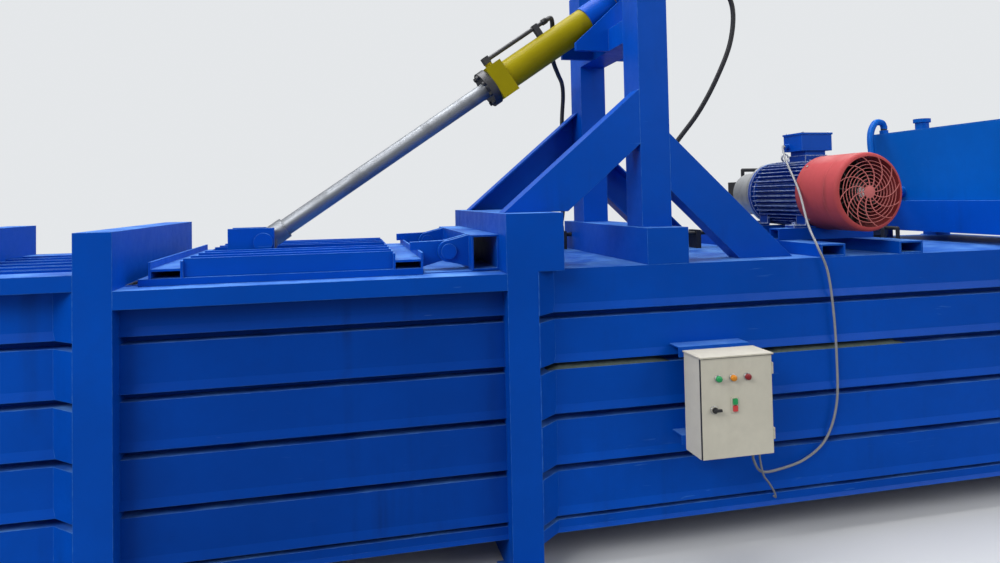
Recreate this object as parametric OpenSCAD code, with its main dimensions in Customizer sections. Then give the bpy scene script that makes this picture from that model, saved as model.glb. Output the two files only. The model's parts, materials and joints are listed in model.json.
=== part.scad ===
// Horizontal recycling baler with a hinged pre-press lid, its hydraulic cylinder on a braced mast,
// a ram with its main cylinder, a power unit on the rear deck and a control box on the side wall.
// Millimetres. The origin is on the floor, in the middle of the four anchor holes.
// X runs along the machine from the bale door to the power unit, Y across it, Z up.

/* [Walls] */
// Clear width of the press chamber
chamber_w = 1020; // [960:10:1080]
// Underside of the side walls above the floor
wall_z = 150; // [130:5:180]
// Top of the side walls above the floor
wall_top = 1250; // [1200:10:1300]
// Thickness of the liner plates inside the ribs
liner_t = 10; // [8:1:14]
// Depth of the ribs outside the liner plates
rib_d = 70; // [60:5:80]
// Sheet thickness of the ribs
rib_t = 6; // [4:1:8]
// Number of ribs on each wall
rib_n = 5; // [4:1:6]
// Gap between two ribs
rib_gap = 30; // [24:2:40]
// Height of the kicked lower band of a rib
rib_band = 34; // [28:2:40]
// How far the lower band of a rib is kicked out
rib_kick = 9; // [4:1:14]
// Height of the bottom strip below the last rib
strip_h = 70; // [60:5:90]
// Thickness of the floor plate
floor_t = 12; // [10:1:20]

/* [Frames] */
// Width of a frame post along the machine
post_w = 130; // [110:5:150]
// How far the posts stand proud of the ribs
post_proud = 80; // [60:5:95]
// Wall thickness of the hollow sections
section_t = 8; // [6:1:10]
// Pitch of the frames round the bale chamber
bay_pitch = 763; // [700:10:820]
// Clear length between the posts of the feed opening
feed_len = 1463; // [1440:10:1500]
// Distance from the hinge frame to the rear frame
rear_len = 3275; // [3240:5:3400]
// Top of the frames round the bale chamber
frame_top = 1460; // [1440:10:1520]
// Top of the box beam over the hinge frame
portal_top = 1490; // [1460:10:1520]
// Length of that box beam along the machine
portal_w = 245; // [220:5:260]
// Thickness of the foot plates
foot_t = 12; // [10:1:20]
// Distance across the machine between the anchor holes
anchor_pitch_y = 1440; // [1430:5:1500]
// Diameter of the anchor holes
anchor_d = 22; // [18:1:26]

/* [Roof and rails] */
// Height of the rail beside the feed opening
rail_h = 68; // [60:2:80]
// Drop of that rail below the wall top
rail_drop = 4; // [2:1:8]
// Height of the roof channels over the bale chamber
roof_h = 59; // [50:1:70]
// Number of roof channels
roof_n = 6; // [5:1:7]
// Gap between roof channels for the tie wires
tie_gap = 36; // [30:2:44]

/* [Ram] */
// Length of the ram body
ram_len = 1560; // [1540:10:1580]
// Gap between the ram and each liner
ram_gap = 5; // [3:1:8]
// Plate thickness of the ram body
ram_t = 14; // [10:1:18]
// Outer diameter of the main cylinder
main_od = 220; // [210:2:240]
// Bore of the main cylinder
main_id = 180; // [160:2:190]
// Diameter of the main rod
main_rod_d = 110; // [90:2:120]

/* [Lid] */
// Length of the lid plate
lid_len = 1078; // [1040:2:1090]
// Width of the lid plate
lid_w = 1120; // [1110:5:1130]
// Thickness of the lid plate
lid_t = 12; // [10:1:16]
// Flange width of the cross beams on the lid
lid_cross_w = 122; // [110:2:130]
// Height of the cross beams on the lid
lid_cross_h = 64; // [56:2:70]
// Flange width of the long beams on the lid
lid_long_w = 140; // [120:2:146]
// Height of the long beams on the lid
lid_long_h = 73; // [66:1:80]
// Diameter of the lid hinge pins
hinge_pin_d = 50; // [40:2:56]
// Diameter of the cylinder pin on the lid
lug_pin_d = 60; // [50:2:64]
// Opening angle of the lid
lid_open = 65; // [50:1:65]
// Distance from the lid hinge to the cylinder pin
lug_reach = 800; // [790:2:810]

/* [Lid cylinder] */
// Slope of the lid cylinder with the lid closed
cyl_slope = 34.2; // [33.5:0.1:35]
// Outer diameter of the lid cylinder
cyl_od = 150; // [144:1:156]
// Bore of the lid cylinder
cyl_id = 125; // [118:1:130]
// Diameter of the lid cylinder's rod
cyl_rod_d = 80; // [60:2:84]
// Diameter of the gland flange
gland_d = 190; // [180:2:200]
// Side of the square head block behind the gland
head_block = 176; // [170:2:184]

/* [Mast] */
// Width of the mast posts along the machine
mast_w = 144; // [130:2:150]
// Depth of the mast posts across the machine
mast_d = 175; // [160:5:180]
// Distance from the wall face to the mast posts
mast_inset = 105; // [90:5:115]
// Top of the mast posts
mast_top = 2720; // [2700:10:2800]
// Height of the beam under the mast
foot_beam_h = 160; // [140:5:180]
// Length of the beam under the mast along the machine
foot_beam_w = 196; // [180:4:210]
// Distance from the hinge frame to the mast
mast_off = 684; // [676:2:700]
// Width of the braces in their own plane
brace_w = 190; // [170:5:200]
// Depth of the braces across the machine
brace_d = 100; // [80:5:120]

/* [Power unit] */
// Diameter of the motor's fan cowl
cowl_d = 380; // [370:5:390]
// Length of the fan cowl
cowl_l = 300; // [280:5:310]
// Length of the finned motor housing
stator_l = 430; // [400:5:440]
// Diameter of the motor shaft
shaft_d = 48; // [42:1:55]
// Distance from the hinge frame to the motor
motor_off = 1732; // [1720:4:1760]
// Number of cooling fins
fin_n = 40; // [32:2:44]
// Height of the motor axis above the deck
motor_h = 300; // [290:5:310]
// Length of the oil tank along the machine
tank_l = 550; // [500:10:560]
// Height of the oil tank
tank_h = 437; // [400:10:460]
// Width of the oil tank
tank_w = 1106; // [1060:10:1120]

/* [Control box] */
// Width of the control box
box_w = 323; // [300:5:340]
// Height of the control box
box_h = 414; // [400:5:430]
// Depth of the control box with its door
box_d = 146; // [130:2:160]
// Gap between the ribs and the box
box_off = 84; // [70:2:100]
// Distance from the hinge frame to the middle of the box
box_place = 862; // [840:2:880]
// Underside of the box above the floor
box_z = 469; // [462:1:474]

/* [Bale door] */
// Depth of the bale door
door_d = 90; // [80:5:110]
// Diameter of the door hinge pins
door_pin_d = 30; // [24:1:34]

/* [Hidden] */
$fn = 48;

blue = [0.0, 0.22, 0.62];
dark_blue = [0.0, 0.14, 0.42];
tank_blue = [0.03, 0.33, 0.66];
yellow = [0.75, 0.68, 0.10];
steel = [0.72, 0.74, 0.76];
dark_steel = [0.28, 0.28, 0.29];
cowl_red = [0.65, 0.27, 0.26];
beige = [0.72, 0.69, 0.61];
black = [0.09, 0.09, 0.10];

// Clearances
running = 0.05;
gap = 0.5;
over = 1;

// Faces across the machine, from the centre plane
liner_in = chamber_w / 2;
liner_out = liner_in + liner_t;
rib_out = liner_out + rib_d;
post_out = rib_out + post_proud;

// Frame centres along the machine
span = 2 * bay_pitch + feed_len + post_w + rear_len;
x_d = -span / 2;
x_c = x_d + bay_pitch;
x_a = x_c + bay_pitch;
x_b = x_a + feed_len + post_w;
x_e = x_b + rear_len;
function lo(x) = x - post_w / 2;
function hi(x) = x + post_w / 2;

// Heights
bearer_h = 50;
floor_z = wall_z + bearer_h + floor_t;
rail_top = wall_top - rail_drop;
blade_t = 12;
deck_t = 12;
ram_top = wall_top - blade_t - 4;
ram_bottom = floor_z + 20;
axis_z = (ram_bottom + ram_top) / 2;

// Roof channels and the tie gaps between them
roof_w = (2 * liner_out - (roof_n - 1) * tie_gap) / roof_n;
tie_places = [for (i = [1:roof_n - 1]) -liner_out + i * roof_w + (i - 0.5) * tie_gap];

// Ribs, bottom to top, each as its foot and its height
rib_h = (wall_top - wall_z - strip_h - (rib_n - 1) * rib_gap) / rib_n;
strip_gap = 20;
rib_list = concat([[wall_z, strip_h - strip_gap]],
    [for (i = [0:rib_n - 1]) [wall_z + strip_h + i * (rib_h + rib_gap), rib_h]]);
top_rib = rib_list[rib_n];
rail_bottom = rail_top - rail_h;
low_ribs = concat([for (i = [0:rib_n - 1]) rib_list[i]], [[top_rib[0], rail_bottom - top_rib[0]]]);
haunch_l = 90;

// Bale door and its hinge
door_x = lo(x_d) - 2;
door_axis = [door_x - 48, post_out + 20];
door_low = 172;
door_high = wall_top + 40;
lock_travel = 90;

// Ram and main cylinder
ram_x = hi(x_b) - 7;
ram_half = liner_in - ram_gap;
face_t = 40;
web_y = 200;
ram_blade_w = 60;
ram_blade_t = 18;
bulkhead_x = ram_x + 900;
ram_pin_x = ram_x + 1020;
ram_pin_d = 70;
eye_w = 90;
gland_x = ram_pin_x + 140;
gland_l = 100;
barrel_end = lo(x_e);
rear_cap = 50;
piston_l = 80;
piston_x = barrel_end - rear_cap - 10 - piston_l;

// Lid, hinge and lid cylinder
hinge_x = x_b - 272;
hinge_z = wall_top + 80;
lid_right = hinge_x - 122;
lid_left = lid_right - lid_len;
lid_z = rail_top + 16;
lid_top = lid_z + lid_t;
lug_x = hinge_x - lug_reach;
lug_z = lid_top + 101;
mast_x = x_b + mast_off;
pivot_x = mast_x + 50;
pivot_z = lug_z + (pivot_x - lug_x) * tan(cyl_slope);
lug_arm = norm([lug_x - hinge_x, lug_z - hinge_z]);
pivot_arm = norm([pivot_x - hinge_x, pivot_z - hinge_z]);
cyl_length = norm([pivot_x - lug_x, pivot_z - lug_z]);
arm_angle = acos((lug_arm ^ 2 + pivot_arm ^ 2 - cyl_length ^ 2) / (2 * lug_arm * pivot_arm));
open_length = sqrt(lug_arm ^ 2 + pivot_arm ^ 2 - 2 * lug_arm * pivot_arm * cos(arm_angle - lid_open));
lid_stroke = cyl_length - open_length;
rod_out = 1289;
gland_t = 40;
head_l = 90;
head_wall = 60;
lid_piston_l = 70;
lid_piston_t = rod_out + gland_t + head_wall + 4;
cyl_end = lid_piston_t + lid_piston_l + lid_stroke + 12 + 30;
pipe_end = 1740;
pipe_h = cyl_od / 2 + 47;
cap_port_h = cyl_od / 2 + 26;
cap_port_end = cyl_end + 13;
cheek_in = 62;
cheek_t = 20;
trunnion_d = 70;
trunnion_half = 100;
head_cheek_t = 26;
hinge_places = [-400, 400];

// Mast
foot_top = wall_top + foot_beam_h;
mast_out = rib_out - mast_inset;
mast_in = mast_out - mast_d;
head_low = 2290;
head_high = 2400;
left_brace = [2041, 40.5];
right_brace = [1838, 43.6];

// Power unit
motor_x = x_b + motor_off;
motor_z = wall_top + motor_h;
fan_end = -(rib_out - 5);
stator_y = fan_end + cowl_l;
flange_y = stator_y + stator_l;
bell_y = flange_y + 20;
bell_l = 260;
pump_y = bell_y + bell_l;
pump_l = 140;
tank_x = x_e - tank_l;
tank_z = wall_top + 55 + 184;
sheet = 5;
pad_h = 55;

// Control box
box_x = x_b + box_place;
box_left = box_x - box_w / 2;
box_right = box_x + box_w / 2;
box_back = rib_out + box_off;
door_sheet = 18;
box_front = box_back + box_d - door_sheet;
box_hinge = [box_right + 6, -(box_front + 9)];
box_top = box_z + box_h;

// Panel of the control box
lamp_places = [-86.5, -20.5, 45.5];
lamp_z = box_z + 329;
selector_at = [box_x - 108, box_z + 204];
button_at = [box_x - 15, box_z + 218];
button_pitch = 28;

// Hydraulic lines on the deck, as end place across the machine and start along it
line_d = 22;
line_z = wall_top + 85;
rod_line = [mast_x - 156, 470];
cap_line = [mast_x + 244, 200];
line_turn = [mast_x + 294, 250];
valve_x = tank_x - 497;
deck_fittings = [valve_x + 80, valve_x + 180];
under_z = axis_z + main_od / 2 + 62;

// Box from three pairs of limits
module slab(x, y, z) {
    translate([x[0], y[0], z[0]])
        cube([x[1] - x[0], y[1] - y[0], z[1] - z[0]]);
}

// The same piece on the near and the far side
module both() {
    children();
    mirror([0, 1, 0]) children();
}

// Round bars along each axis
module bar_x(y, z, x, r) {
    translate([x[0], y, z]) rotate([0, 90, 0]) cylinder(h = x[1] - x[0], r = r);
}
module bar_y(x, z, y, r) {
    translate([x, y[0], z]) rotate([-90, 0, 0]) cylinder(h = y[1] - y[0], r = r);
}
module bar_z(x, y, z, r) {
    translate([x, y, z[0]]) cylinder(h = z[1] - z[0], r = r);
}

// Hollow sections, open at both ends
module tube_x(x, y, z, t) {
    difference() {
        slab(x, y, z);
        slab([x[0] - over, x[1] + over], [y[0] + t, y[1] - t], [z[0] + t, z[1] - t]);
    }
}
module tube_y(x, y, z, t) {
    difference() {
        slab(x, y, z);
        slab([x[0] + t, x[1] - t], [y[0] - over, y[1] + over], [z[0] + t, z[1] - t]);
    }
}

// Plate with an outline in X and Z, between two distances across the machine
module plate_xz(points, y) {
    translate([0, y[1], 0]) rotate([90, 0, 0]) linear_extrude(y[1] - y[0]) polygon(points);
}

// Bolt head with its washer, standing up from the origin
module bolt(d) {
    cylinder(h = 0.2 * d, r = d);
    cylinder(h = 0.85 * d, r = 0.86 * d, $fn = 6);
}

// Smooth route through hand-chosen points
function unit(v) = v / norm(v);
function curve(a, b, c, d, t) = 0.5 * (2 * b + (c - a) * t + (2 * a - 5 * b + 4 * c - d) * t * t
    + (3 * b - a - 3 * c + d) * t * t * t);
function smooth(p, n) = let (e = len(p) - 1) concat(
    [for (i = [0:e - 1]) for (j = [0:n - 1])
        curve(p[max(i - 1, 0)], p[i], p[i + 1], p[min(i + 2, e)], j / n)], [p[e]]);
function heading(p, i) = unit(p[min(i + 1, len(p) - 1)] - p[max(i - 1, 0)]);
function carry(p, n, i = 0) = i >= len(p) ? [] :
    let (t = heading(p, i), m = unit(n - (n * t) * t)) concat([[t, m]], carry(p, m, i + 1));

// Round tube swept along a route, its side count and start normal given
module sweep(p, d, sides = 10, start = [0.3, 0.8, 0.52]) {
    frames = carry(p, start);
    rings = len(p);
    points = [for (i = [0:rings - 1]) for (j = [0:sides - 1])
        let (a = 360 * j / sides, t = frames[i][0], m = frames[i][1])
        p[i] + d / 2 * (cos(a) * m + sin(a) * cross(t, m))];
    sides_list = [for (i = [0:rings - 2]) for (j = [0:sides - 1]) let (k = (j + 1) % sides)
        [i * sides + j, (i + 1) * sides + j, (i + 1) * sides + k, i * sides + k]];
    first = [for (j = [0:sides - 1]) j];
    last = [for (j = [0:sides - 1]) rings * sides - 1 - j];
    polyhedron(points, concat(sides_list, [first, last]));
}

// One rib on the far wall, as a folded channel with its lower band kicked out
module rib(x, z, h) {
    t = rib_t;
    band = min(rib_band, h / 3);
    translate([x[0], liner_out, z]) rotate([90, 0, 90]) linear_extrude(x[1] - x[0])
        polygon([[0, h], [rib_d, h], [rib_d, band], [rib_d + rib_kick, 0], [0, 0], [0, t],
            [rib_d + rib_kick - t - 1, t], [rib_d - t, band], [rib_d - t, h - t], [0, h - t]]);
}

// Flared end of a rib that meets a post at x, side is 1 or -1 towards the post
module haunch(x, side, z, h) {
    b = x - side * haunch_l;
    skin = 1.4 * rib_t;
    translate([0, 0, z]) linear_extrude(h)
        polygon([[b, rib_out - skin], [b, rib_out], [x, post_out], [x, post_out - skin]]);
    for (level = [0, h - rib_t])
        translate([0, 0, z + level]) linear_extrude(rib_t)
            polygon([[b, rib_out - rib_t], [b, rib_out], [x, post_out], [x, rib_out - rib_t]]);
}

module rib_row(x, list, flared) {
    both() for (r = list) union() {
        rib(x, r[0], r[1]);
        if (flared) haunch(x[0], -1, r[0], r[1]);
        if (flared) haunch(x[1], 1, r[0], r[1]);
    }
}

module ribs_left() color(blue) {
    rib_row([hi(x_d), lo(x_c)], rib_list, true);
    rib_row([hi(x_c), lo(x_a)], rib_list, true);
}

module ribs_middle() color(blue) rib_row([hi(x_a), lo(x_b)], low_ribs, false);

// Brackets that hold the control box off the ribs
module box_bracket(x, z, leg) {
    slab(x, [-box_back, -rib_out], [z - 6, z]);
    slab(x, [-box_back, -box_back + 6], [z - leg, z]);
}

module ribs_right() color(blue) {
    rib_row([hi(x_b), lo(x_e)], rib_list, true);
    box_bracket([box_left - 22, box_right - 12], box_top + 20, 44);
    box_bracket([box_left - 18, box_left + 40], box_z + 60, 40);
    box_bracket([box_right - 40, box_right + 18], box_z + 60, 40);
}

// Floor frame: a beam under each frame, long bearers and the foot plates
module base_frame() color(dark_blue) difference() {
    union() {
        for (x = [x_d, x_c, x_a, x_b, x_e]) {
            tube_y([lo(x), hi(x)], [-liner_out, liner_out], [foot_t - over, wall_z], section_t);
            both() slab([lo(x) - 30, hi(x) + 30], [liner_out - 30, anchor_pitch_y / 2 + 50], [0, foot_t]);
        }
        for (y = [-420, -150, 150, 420])
            tube_x([lo(x_d), hi(x_e)], [y - 35, y + 35], [wall_z - over, wall_z + bearer_h], section_t);
    }
    for (x = [x_d, x_e])
        both() bar_z(x, anchor_pitch_y / 2, [-over, foot_t + over], anchor_d / 2);
}

module floor_plate() color(blue)
    slab([lo(x_d), hi(x_e)], [-liner_in, liner_in], [wall_z + bearer_h, floor_z]);

module liners() color(blue)
    both() slab([lo(x_d), hi(x_e)], [liner_in, liner_out], [wall_z, wall_top]);

// Post of hollow section, open below and capped on top
module post(x, top) {
    difference() {
        slab([lo(x), hi(x)], [liner_out, post_out], [foot_t, top]);
        slab([lo(x) + section_t, hi(x) - section_t], [liner_out + section_t, post_out - section_t],
            [foot_t - over, top - section_t]);
    }
}

// Frame round the bale chamber: two posts and the beam over the roof
module chamber_frame(x) {
    both() post(x, frame_top);
    tube_y([lo(x), hi(x)], [-liner_out - over, liner_out + over], [wall_top, frame_top], section_t);
}

// Hinge and lock lugs of the bale door, on the door side of a post
module post_lug(y, z, r, bore) {
    side = y[0] > 0 ? 1 : -1;
    difference() {
        union() {
            slab([door_axis[0], lo(x_d) + over], y, z);
            bar_z(door_axis[0], side * door_axis[1], z, r);
        }
        bar_z(door_axis[0], side * door_axis[1], [z[0] - over, z[1] + over], bore);
    }
}
door_hinge_z = [380, 1020];
door_lug_h = 60;
door_lug_r = 32;

module frame_door() color(blue) {
    chamber_frame(x_d);
    far = [door_axis[1] - 30, door_axis[1] + door_lug_r];
    near = [-door_axis[1] - door_lug_r, -door_axis[1] + 30];
    for (z = door_hinge_z)
        for (level = [z - door_lug_h - 2, z + door_lug_h + 2])
            post_lug(far, [level, level + door_lug_h], door_lug_r, door_pin_d / 2 + running);
    for (level = [door_high - 40, door_high + 100])
        post_lug(near, [level, level + 16], door_lug_r, door_pin_d / 2 + running);
}
module frame_chamber() color(blue) chamber_frame(x_c);
module frame_feed() color(blue) chamber_frame(x_a);

// Box beam over a frame, open below, with closed ends
module cap_box(x, y, z) {
    difference() {
        slab(x, [-y, y], z);
        slab([x[0] + section_t, x[1] - section_t], [-y + section_t, y - section_t],
            [z[0] - over, z[1] - section_t]);
    }
}
portal_x = [lo(x_b) - 2, lo(x_b) - 2 + portal_w];

module frame_hinge() color(blue) {
    both() post(x_b, wall_top + section_t);
    cap_box(portal_x, post_out, [wall_top, portal_top]);
}

module frame_rear() color(blue) {
    both() post(x_e, wall_top);
    tube_y([lo(x_e), hi(x_e)], [-liner_in, liner_in], [axis_z - 140, axis_z + 140], 2 * section_t);
    tube_y([lo(x_e), hi(x_e)], [-liner_in, liner_in], [wall_top - deck_t - 120, wall_top - deck_t], section_t);
}

// Rails beside the feed opening and over the ribs of the bale chamber
module side_rails() color(blue) {
    t = 10;
    both() translate([hi(x_a), 0, 0]) rotate([90, 0, 90]) linear_extrude(lo(x_b) - hi(x_a))
        polygon([[liner_out, rail_top], [post_out, rail_top], [post_out, rail_bottom],
            [post_out - 40, rail_bottom], [post_out - 40, rail_bottom + t],
            [post_out - t, rail_bottom + t], [post_out - t, rail_top - t], [liner_out, rail_top - t]]);
    both() for (x = [[hi(x_d), lo(x_c)], [hi(x_c), lo(x_a)]])
        tube_x(x, [liner_out, post_out], [wall_top, wall_top + roof_h], section_t);
}

// Roof of the bale chamber, channels with their flanges up
module roof_channels() color(blue) {
    t = section_t;
    for (x = [[hi(x_d), lo(x_c)], [hi(x_c), lo(x_a)]])
        for (i = [0:roof_n - 1]) {
            y = -liner_out + i * (roof_w + tie_gap);
            difference() {
                slab(x, [y, y + roof_w], [wall_top, wall_top + roof_h]);
                slab([x[0] - over, x[1] + over], [y + t, y + roof_w - t],
                    [wall_top + t, wall_top + roof_h + over]);
            }
        }
}

cover_x = lid_right + 12;
module deck_plates() color(blue) difference() {
    slab([cover_x, hi(x_e)], [-liner_in, liner_in], [wall_top - deck_t, wall_top]);
    for (x = deck_fittings)
        bar_z(x, 0, [wall_top - deck_t - over, wall_top + over], line_d / 2 + 5 + running);
}

// Lid hinge: fixed lugs on a beam, and the pins
knuckle_r = 46;
arm_t = 30;
module hinge_beam() color(blue) {
    right = portal_x[0];
    left = right - 117;
    tube_y([left, right], [-rib_out + 65, rib_out - 65], [wall_top, wall_top + 150], section_t);
    for (c = hinge_places)
        for (y = [c - arm_t / 2 - 3 - arm_t, c + arm_t / 2 + 3])
            difference() {
                union() {
                    bar_y(hinge_x, hinge_z, [y, y + arm_t], knuckle_r);
                    plate_xz([[hinge_x, hinge_z + knuckle_r], [left + over, wall_top + 148],
                        [left + over, wall_top + 12], [hinge_x, hinge_z - knuckle_r]], [y, y + arm_t]);
                }
                bar_y(hinge_x, hinge_z, [y - over, y + arm_t + over], hinge_pin_d / 2 + running);
            }
}

module hinge_pins() color(steel) {
    for (c = hinge_places) {
        bar_y(hinge_x, hinge_z, [c - 52, c + 52], hinge_pin_d / 2);
        for (y = [[c - 62, c - 52], [c + 52, c + 62]])
            bar_y(hinge_x, hinge_z, y, hinge_pin_d / 2 + 8);
    }
    for (z = door_hinge_z) {
        bar_z(door_axis[0], door_axis[1], [z - door_lug_h - 8, z + 2 * door_lug_h + 4], door_pin_d / 2);
        bar_z(door_axis[0], door_axis[1], [z + 2 * door_lug_h + 2.5, z + 2 * door_lug_h + 14],
            door_pin_d / 2 + 8);
    }
}

// Shear blade under the frame at the end of the feed opening
module fixed_blade() color(steel) {
    difference() {
        slab([hi(x_a) - 88, hi(x_a) + 2], [-liner_in + 2, liner_in - 2], [wall_top - blade_t, wall_top]);
        for (y = [-400:200:400])
            bar_z(hi(x_a) - 44, y, [wall_top - blade_t - over, wall_top - blade_t + 6], 14);
    }
}

// Mast posts on their foot beam, open below through both
module mast_posts() color(blue) {
    t = section_t;
    x = [mast_x - mast_w / 2, mast_x + mast_w / 2];
    difference() {
        union() {
            slab([mast_x - foot_beam_w / 2, mast_x + foot_beam_w / 2], [-rib_out, rib_out],
                [wall_top, foot_top]);
            both() slab(x, [mast_in, mast_out], [foot_top - over, mast_top]);
        }
        slab([mast_x - foot_beam_w / 2 + t, mast_x + foot_beam_w / 2 - t], [-rib_out + t, rib_out - t],
            [wall_top - over, foot_top - t]);
        both() slab([x[0] + t, x[1] - t], [mast_in + t, mast_out - t], [foot_top - t - over, mast_top - t]);
        bar_x(rod_line[1], line_z, [mast_x - foot_beam_w, mast_x + foot_beam_w], line_d / 2 + 5);
    }
}

// Outline of a brace, from the mast face down to its landing height
function brace_end(x, z, side, slope, level) = x + side * (z - level) / tan(slope);
function brace_outline(x, z, side, slope, level, inset, reach) =
    let (drop = brace_w / cos(slope), cut = inset / cos(slope), top = z - cut, low = z - drop + cut,
        a = x - side * reach, b = level - reach,
        rise = reach * tan(slope))
    [[a, top + rise], [brace_end(x, top, side, slope, b), b], [brace_end(x, low, side, slope, b), b],
        [a, low + rise]];

module brace(x, side, top, level) {
    z = top[0];
    slope = top[1];
    difference() {
        plate_xz(brace_outline(x, z, side, slope, level, 0, 0), [mast_out - brace_d, mast_out]);
        plate_xz(brace_outline(x, z, side, slope, level, section_t, 2), [mast_out - brace_d - over,
            mast_out - section_t]);
    }
}

module mast_braces() color(blue) both() {
    brace(mast_x - mast_w / 2, -1, left_brace, portal_top);
    brace(mast_x + mast_w / 2, 1, right_brace, wall_top);
}

// Head beam between the posts, with the two cheeks that carry the trunnion
module mast_head() color(blue) {
    boss = 80;
    cheek = [[mast_x - 246, head_low], [mast_x + 130, head_low], [pivot_x + boss, pivot_z],
        [pivot_x, pivot_z], [mast_x - 169, head_high], [mast_x - 246, head_low + 40]];
    difference() {
        union() {
            slab([mast_x - mast_w / 2, mast_x + mast_w / 2], [-mast_in, mast_in], [head_low, head_high]);
            both() {
                plate_xz(cheek, [trunnion_half + gap, trunnion_half + head_cheek_t]);
                bar_y(pivot_x, pivot_z, [trunnion_half + gap, trunnion_half + head_cheek_t], boss);
            }
        }
        slab([mast_x - mast_w / 2 + section_t, mast_x + mast_w / 2 - section_t],
            [-mast_in - over, mast_in + over], [head_low + section_t, head_high - section_t]);
        bar_y(pivot_x, pivot_z, [-trunnion_half - 60, trunnion_half + 60], trunnion_d / 2 + running);
    }
}

// Main cylinder along the machine
module main_barrel() color(yellow) {
    r = main_od / 2;
    difference() {
        union() {
            bar_x(0, axis_z, [gland_x + gland_l, barrel_end], r);
            bar_x(0, axis_z, [barrel_end - 30, barrel_end], r + 45);
            bar_x(0, axis_z, [gland_x + gland_l, gland_x + gland_l + 30], r + 25);
            for (x = [gland_x + gland_l + 90, barrel_end - rear_cap - 60])
                bar_z(x, 0, [axis_z, axis_z + r + 24], 26);
        }
        bar_x(0, axis_z, [gland_x + gland_l - over, barrel_end - rear_cap], main_id / 2);
    }
}

module main_gland() color(dark_steel) {
    r = main_od / 2 + 25;
    difference() {
        bar_x(0, axis_z, [gland_x, gland_x + gland_l], r);
        bar_x(0, axis_z, [gland_x - over, gland_x + gland_l + over], main_rod_d / 2 + running);
    }
    for (i = [0:11])
        translate([gland_x, 0, axis_z]) rotate([i * 30, 0, 0]) translate([0, 0, main_od / 2 + 6])
            rotate([0, -90, 0]) bolt(14);
}

// Ram: a plated box, open behind, with wire grooves in its face
module ram_body() color(blue) {
    t = ram_t;
    end = ram_x + ram_len;
    difference() {
        slab([ram_x, end], [-ram_half, ram_half], [ram_bottom, ram_top]);
        for (y = [[-ram_half + t, -web_y - 8], [8 - web_y, web_y - 8], [web_y + 8, ram_half - t]])
            slab([ram_x + face_t, bulkhead_x], y, [ram_bottom + t, ram_top - t]);
        slab([bulkhead_x + 20, end + over], [-ram_half + t, ram_half - t], [ram_bottom + t, ram_top - t]);
        for (y = tie_places)
            slab([ram_x - over, ram_x + 24], [y - 15, y + 15], [ram_bottom - over, ram_top + over]);
        slab([ram_x - over, ram_x + ram_blade_w], [-ram_half - over, ram_half + over],
            [ram_top - ram_blade_t, ram_top + over]);
    }
    both() difference() {
        union() {
            slab([bulkhead_x + 19, ram_pin_x], [eye_w / 2 + 1, eye_w / 2 + 31], [axis_z - 75, axis_z + 75]);
            bar_y(ram_pin_x, axis_z, [eye_w / 2 + 1, eye_w / 2 + 31], 75);
        }
        bar_y(ram_pin_x, axis_z, [0, eye_w / 2 + 40], ram_pin_d / 2 + running);
    }
}

module ram_shoes() color(dark_steel)
    for (y = [-430, 430])
        for (x = [ram_x + 20, ram_x + ram_len / 2 + 20])
            slab([x, x + ram_len / 2 - 40], [y - 45, y + 45], [floor_z + gap, ram_bottom]);

module ram_blade() color(steel) difference() {
    slab([ram_x - 2, ram_x + ram_blade_w], [-ram_half, ram_half], [ram_top - ram_blade_t, ram_top]);
    for (y = [-400:200:400])
        bar_z(ram_x + 32, y, [ram_top - 6, ram_top + over], 12);
}

module main_rod() color(steel) difference() {
    union() {
        bar_x(0, axis_z, [ram_pin_x + 80, piston_x], main_rod_d / 2);
        bar_x(0, axis_z, [ram_pin_x + 50, ram_pin_x + 81], eye_w / 2 - 1);
        bar_y(ram_pin_x, axis_z, [-eye_w / 2, eye_w / 2], 74);
    }
    bar_y(ram_pin_x, axis_z, [-eye_w, eye_w], ram_pin_d / 2 + running);
}

module main_piston() color(dark_steel)
    bar_x(0, axis_z, [piston_x, piston_x + piston_l], main_id / 2 - running);

module ram_pin() color(steel) {
    bar_y(ram_pin_x, axis_z, [-eye_w / 2 - 36, eye_w / 2 + 36], ram_pin_d / 2);
    both() bar_y(ram_pin_x, axis_z, [eye_w / 2 + 36, eye_w / 2 + 46], ram_pin_d / 2 + 10);
}

// Lid plate with the bars that seat on the rails
module lid_plate() color(blue) {
    half = lid_w / 2;
    slab([lid_left, lid_right], [-half, half], [lid_z, lid_top]);
    both() slab([lid_left, lid_right], [half - 30, half], [rail_top + gap, lid_z + over]);
}

// Rolled beam lying on its side, its web level, along X or along Y
module flat_beam(w, h, l, t = 9) {
    linear_extrude(l) difference() {
        square([w, h]);
        for (z = [-over, h / 2 + t / 2])
            translate([t, z]) square([w - 2 * t, h / 2 - t / 2 + over]);
    }
}

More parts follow.
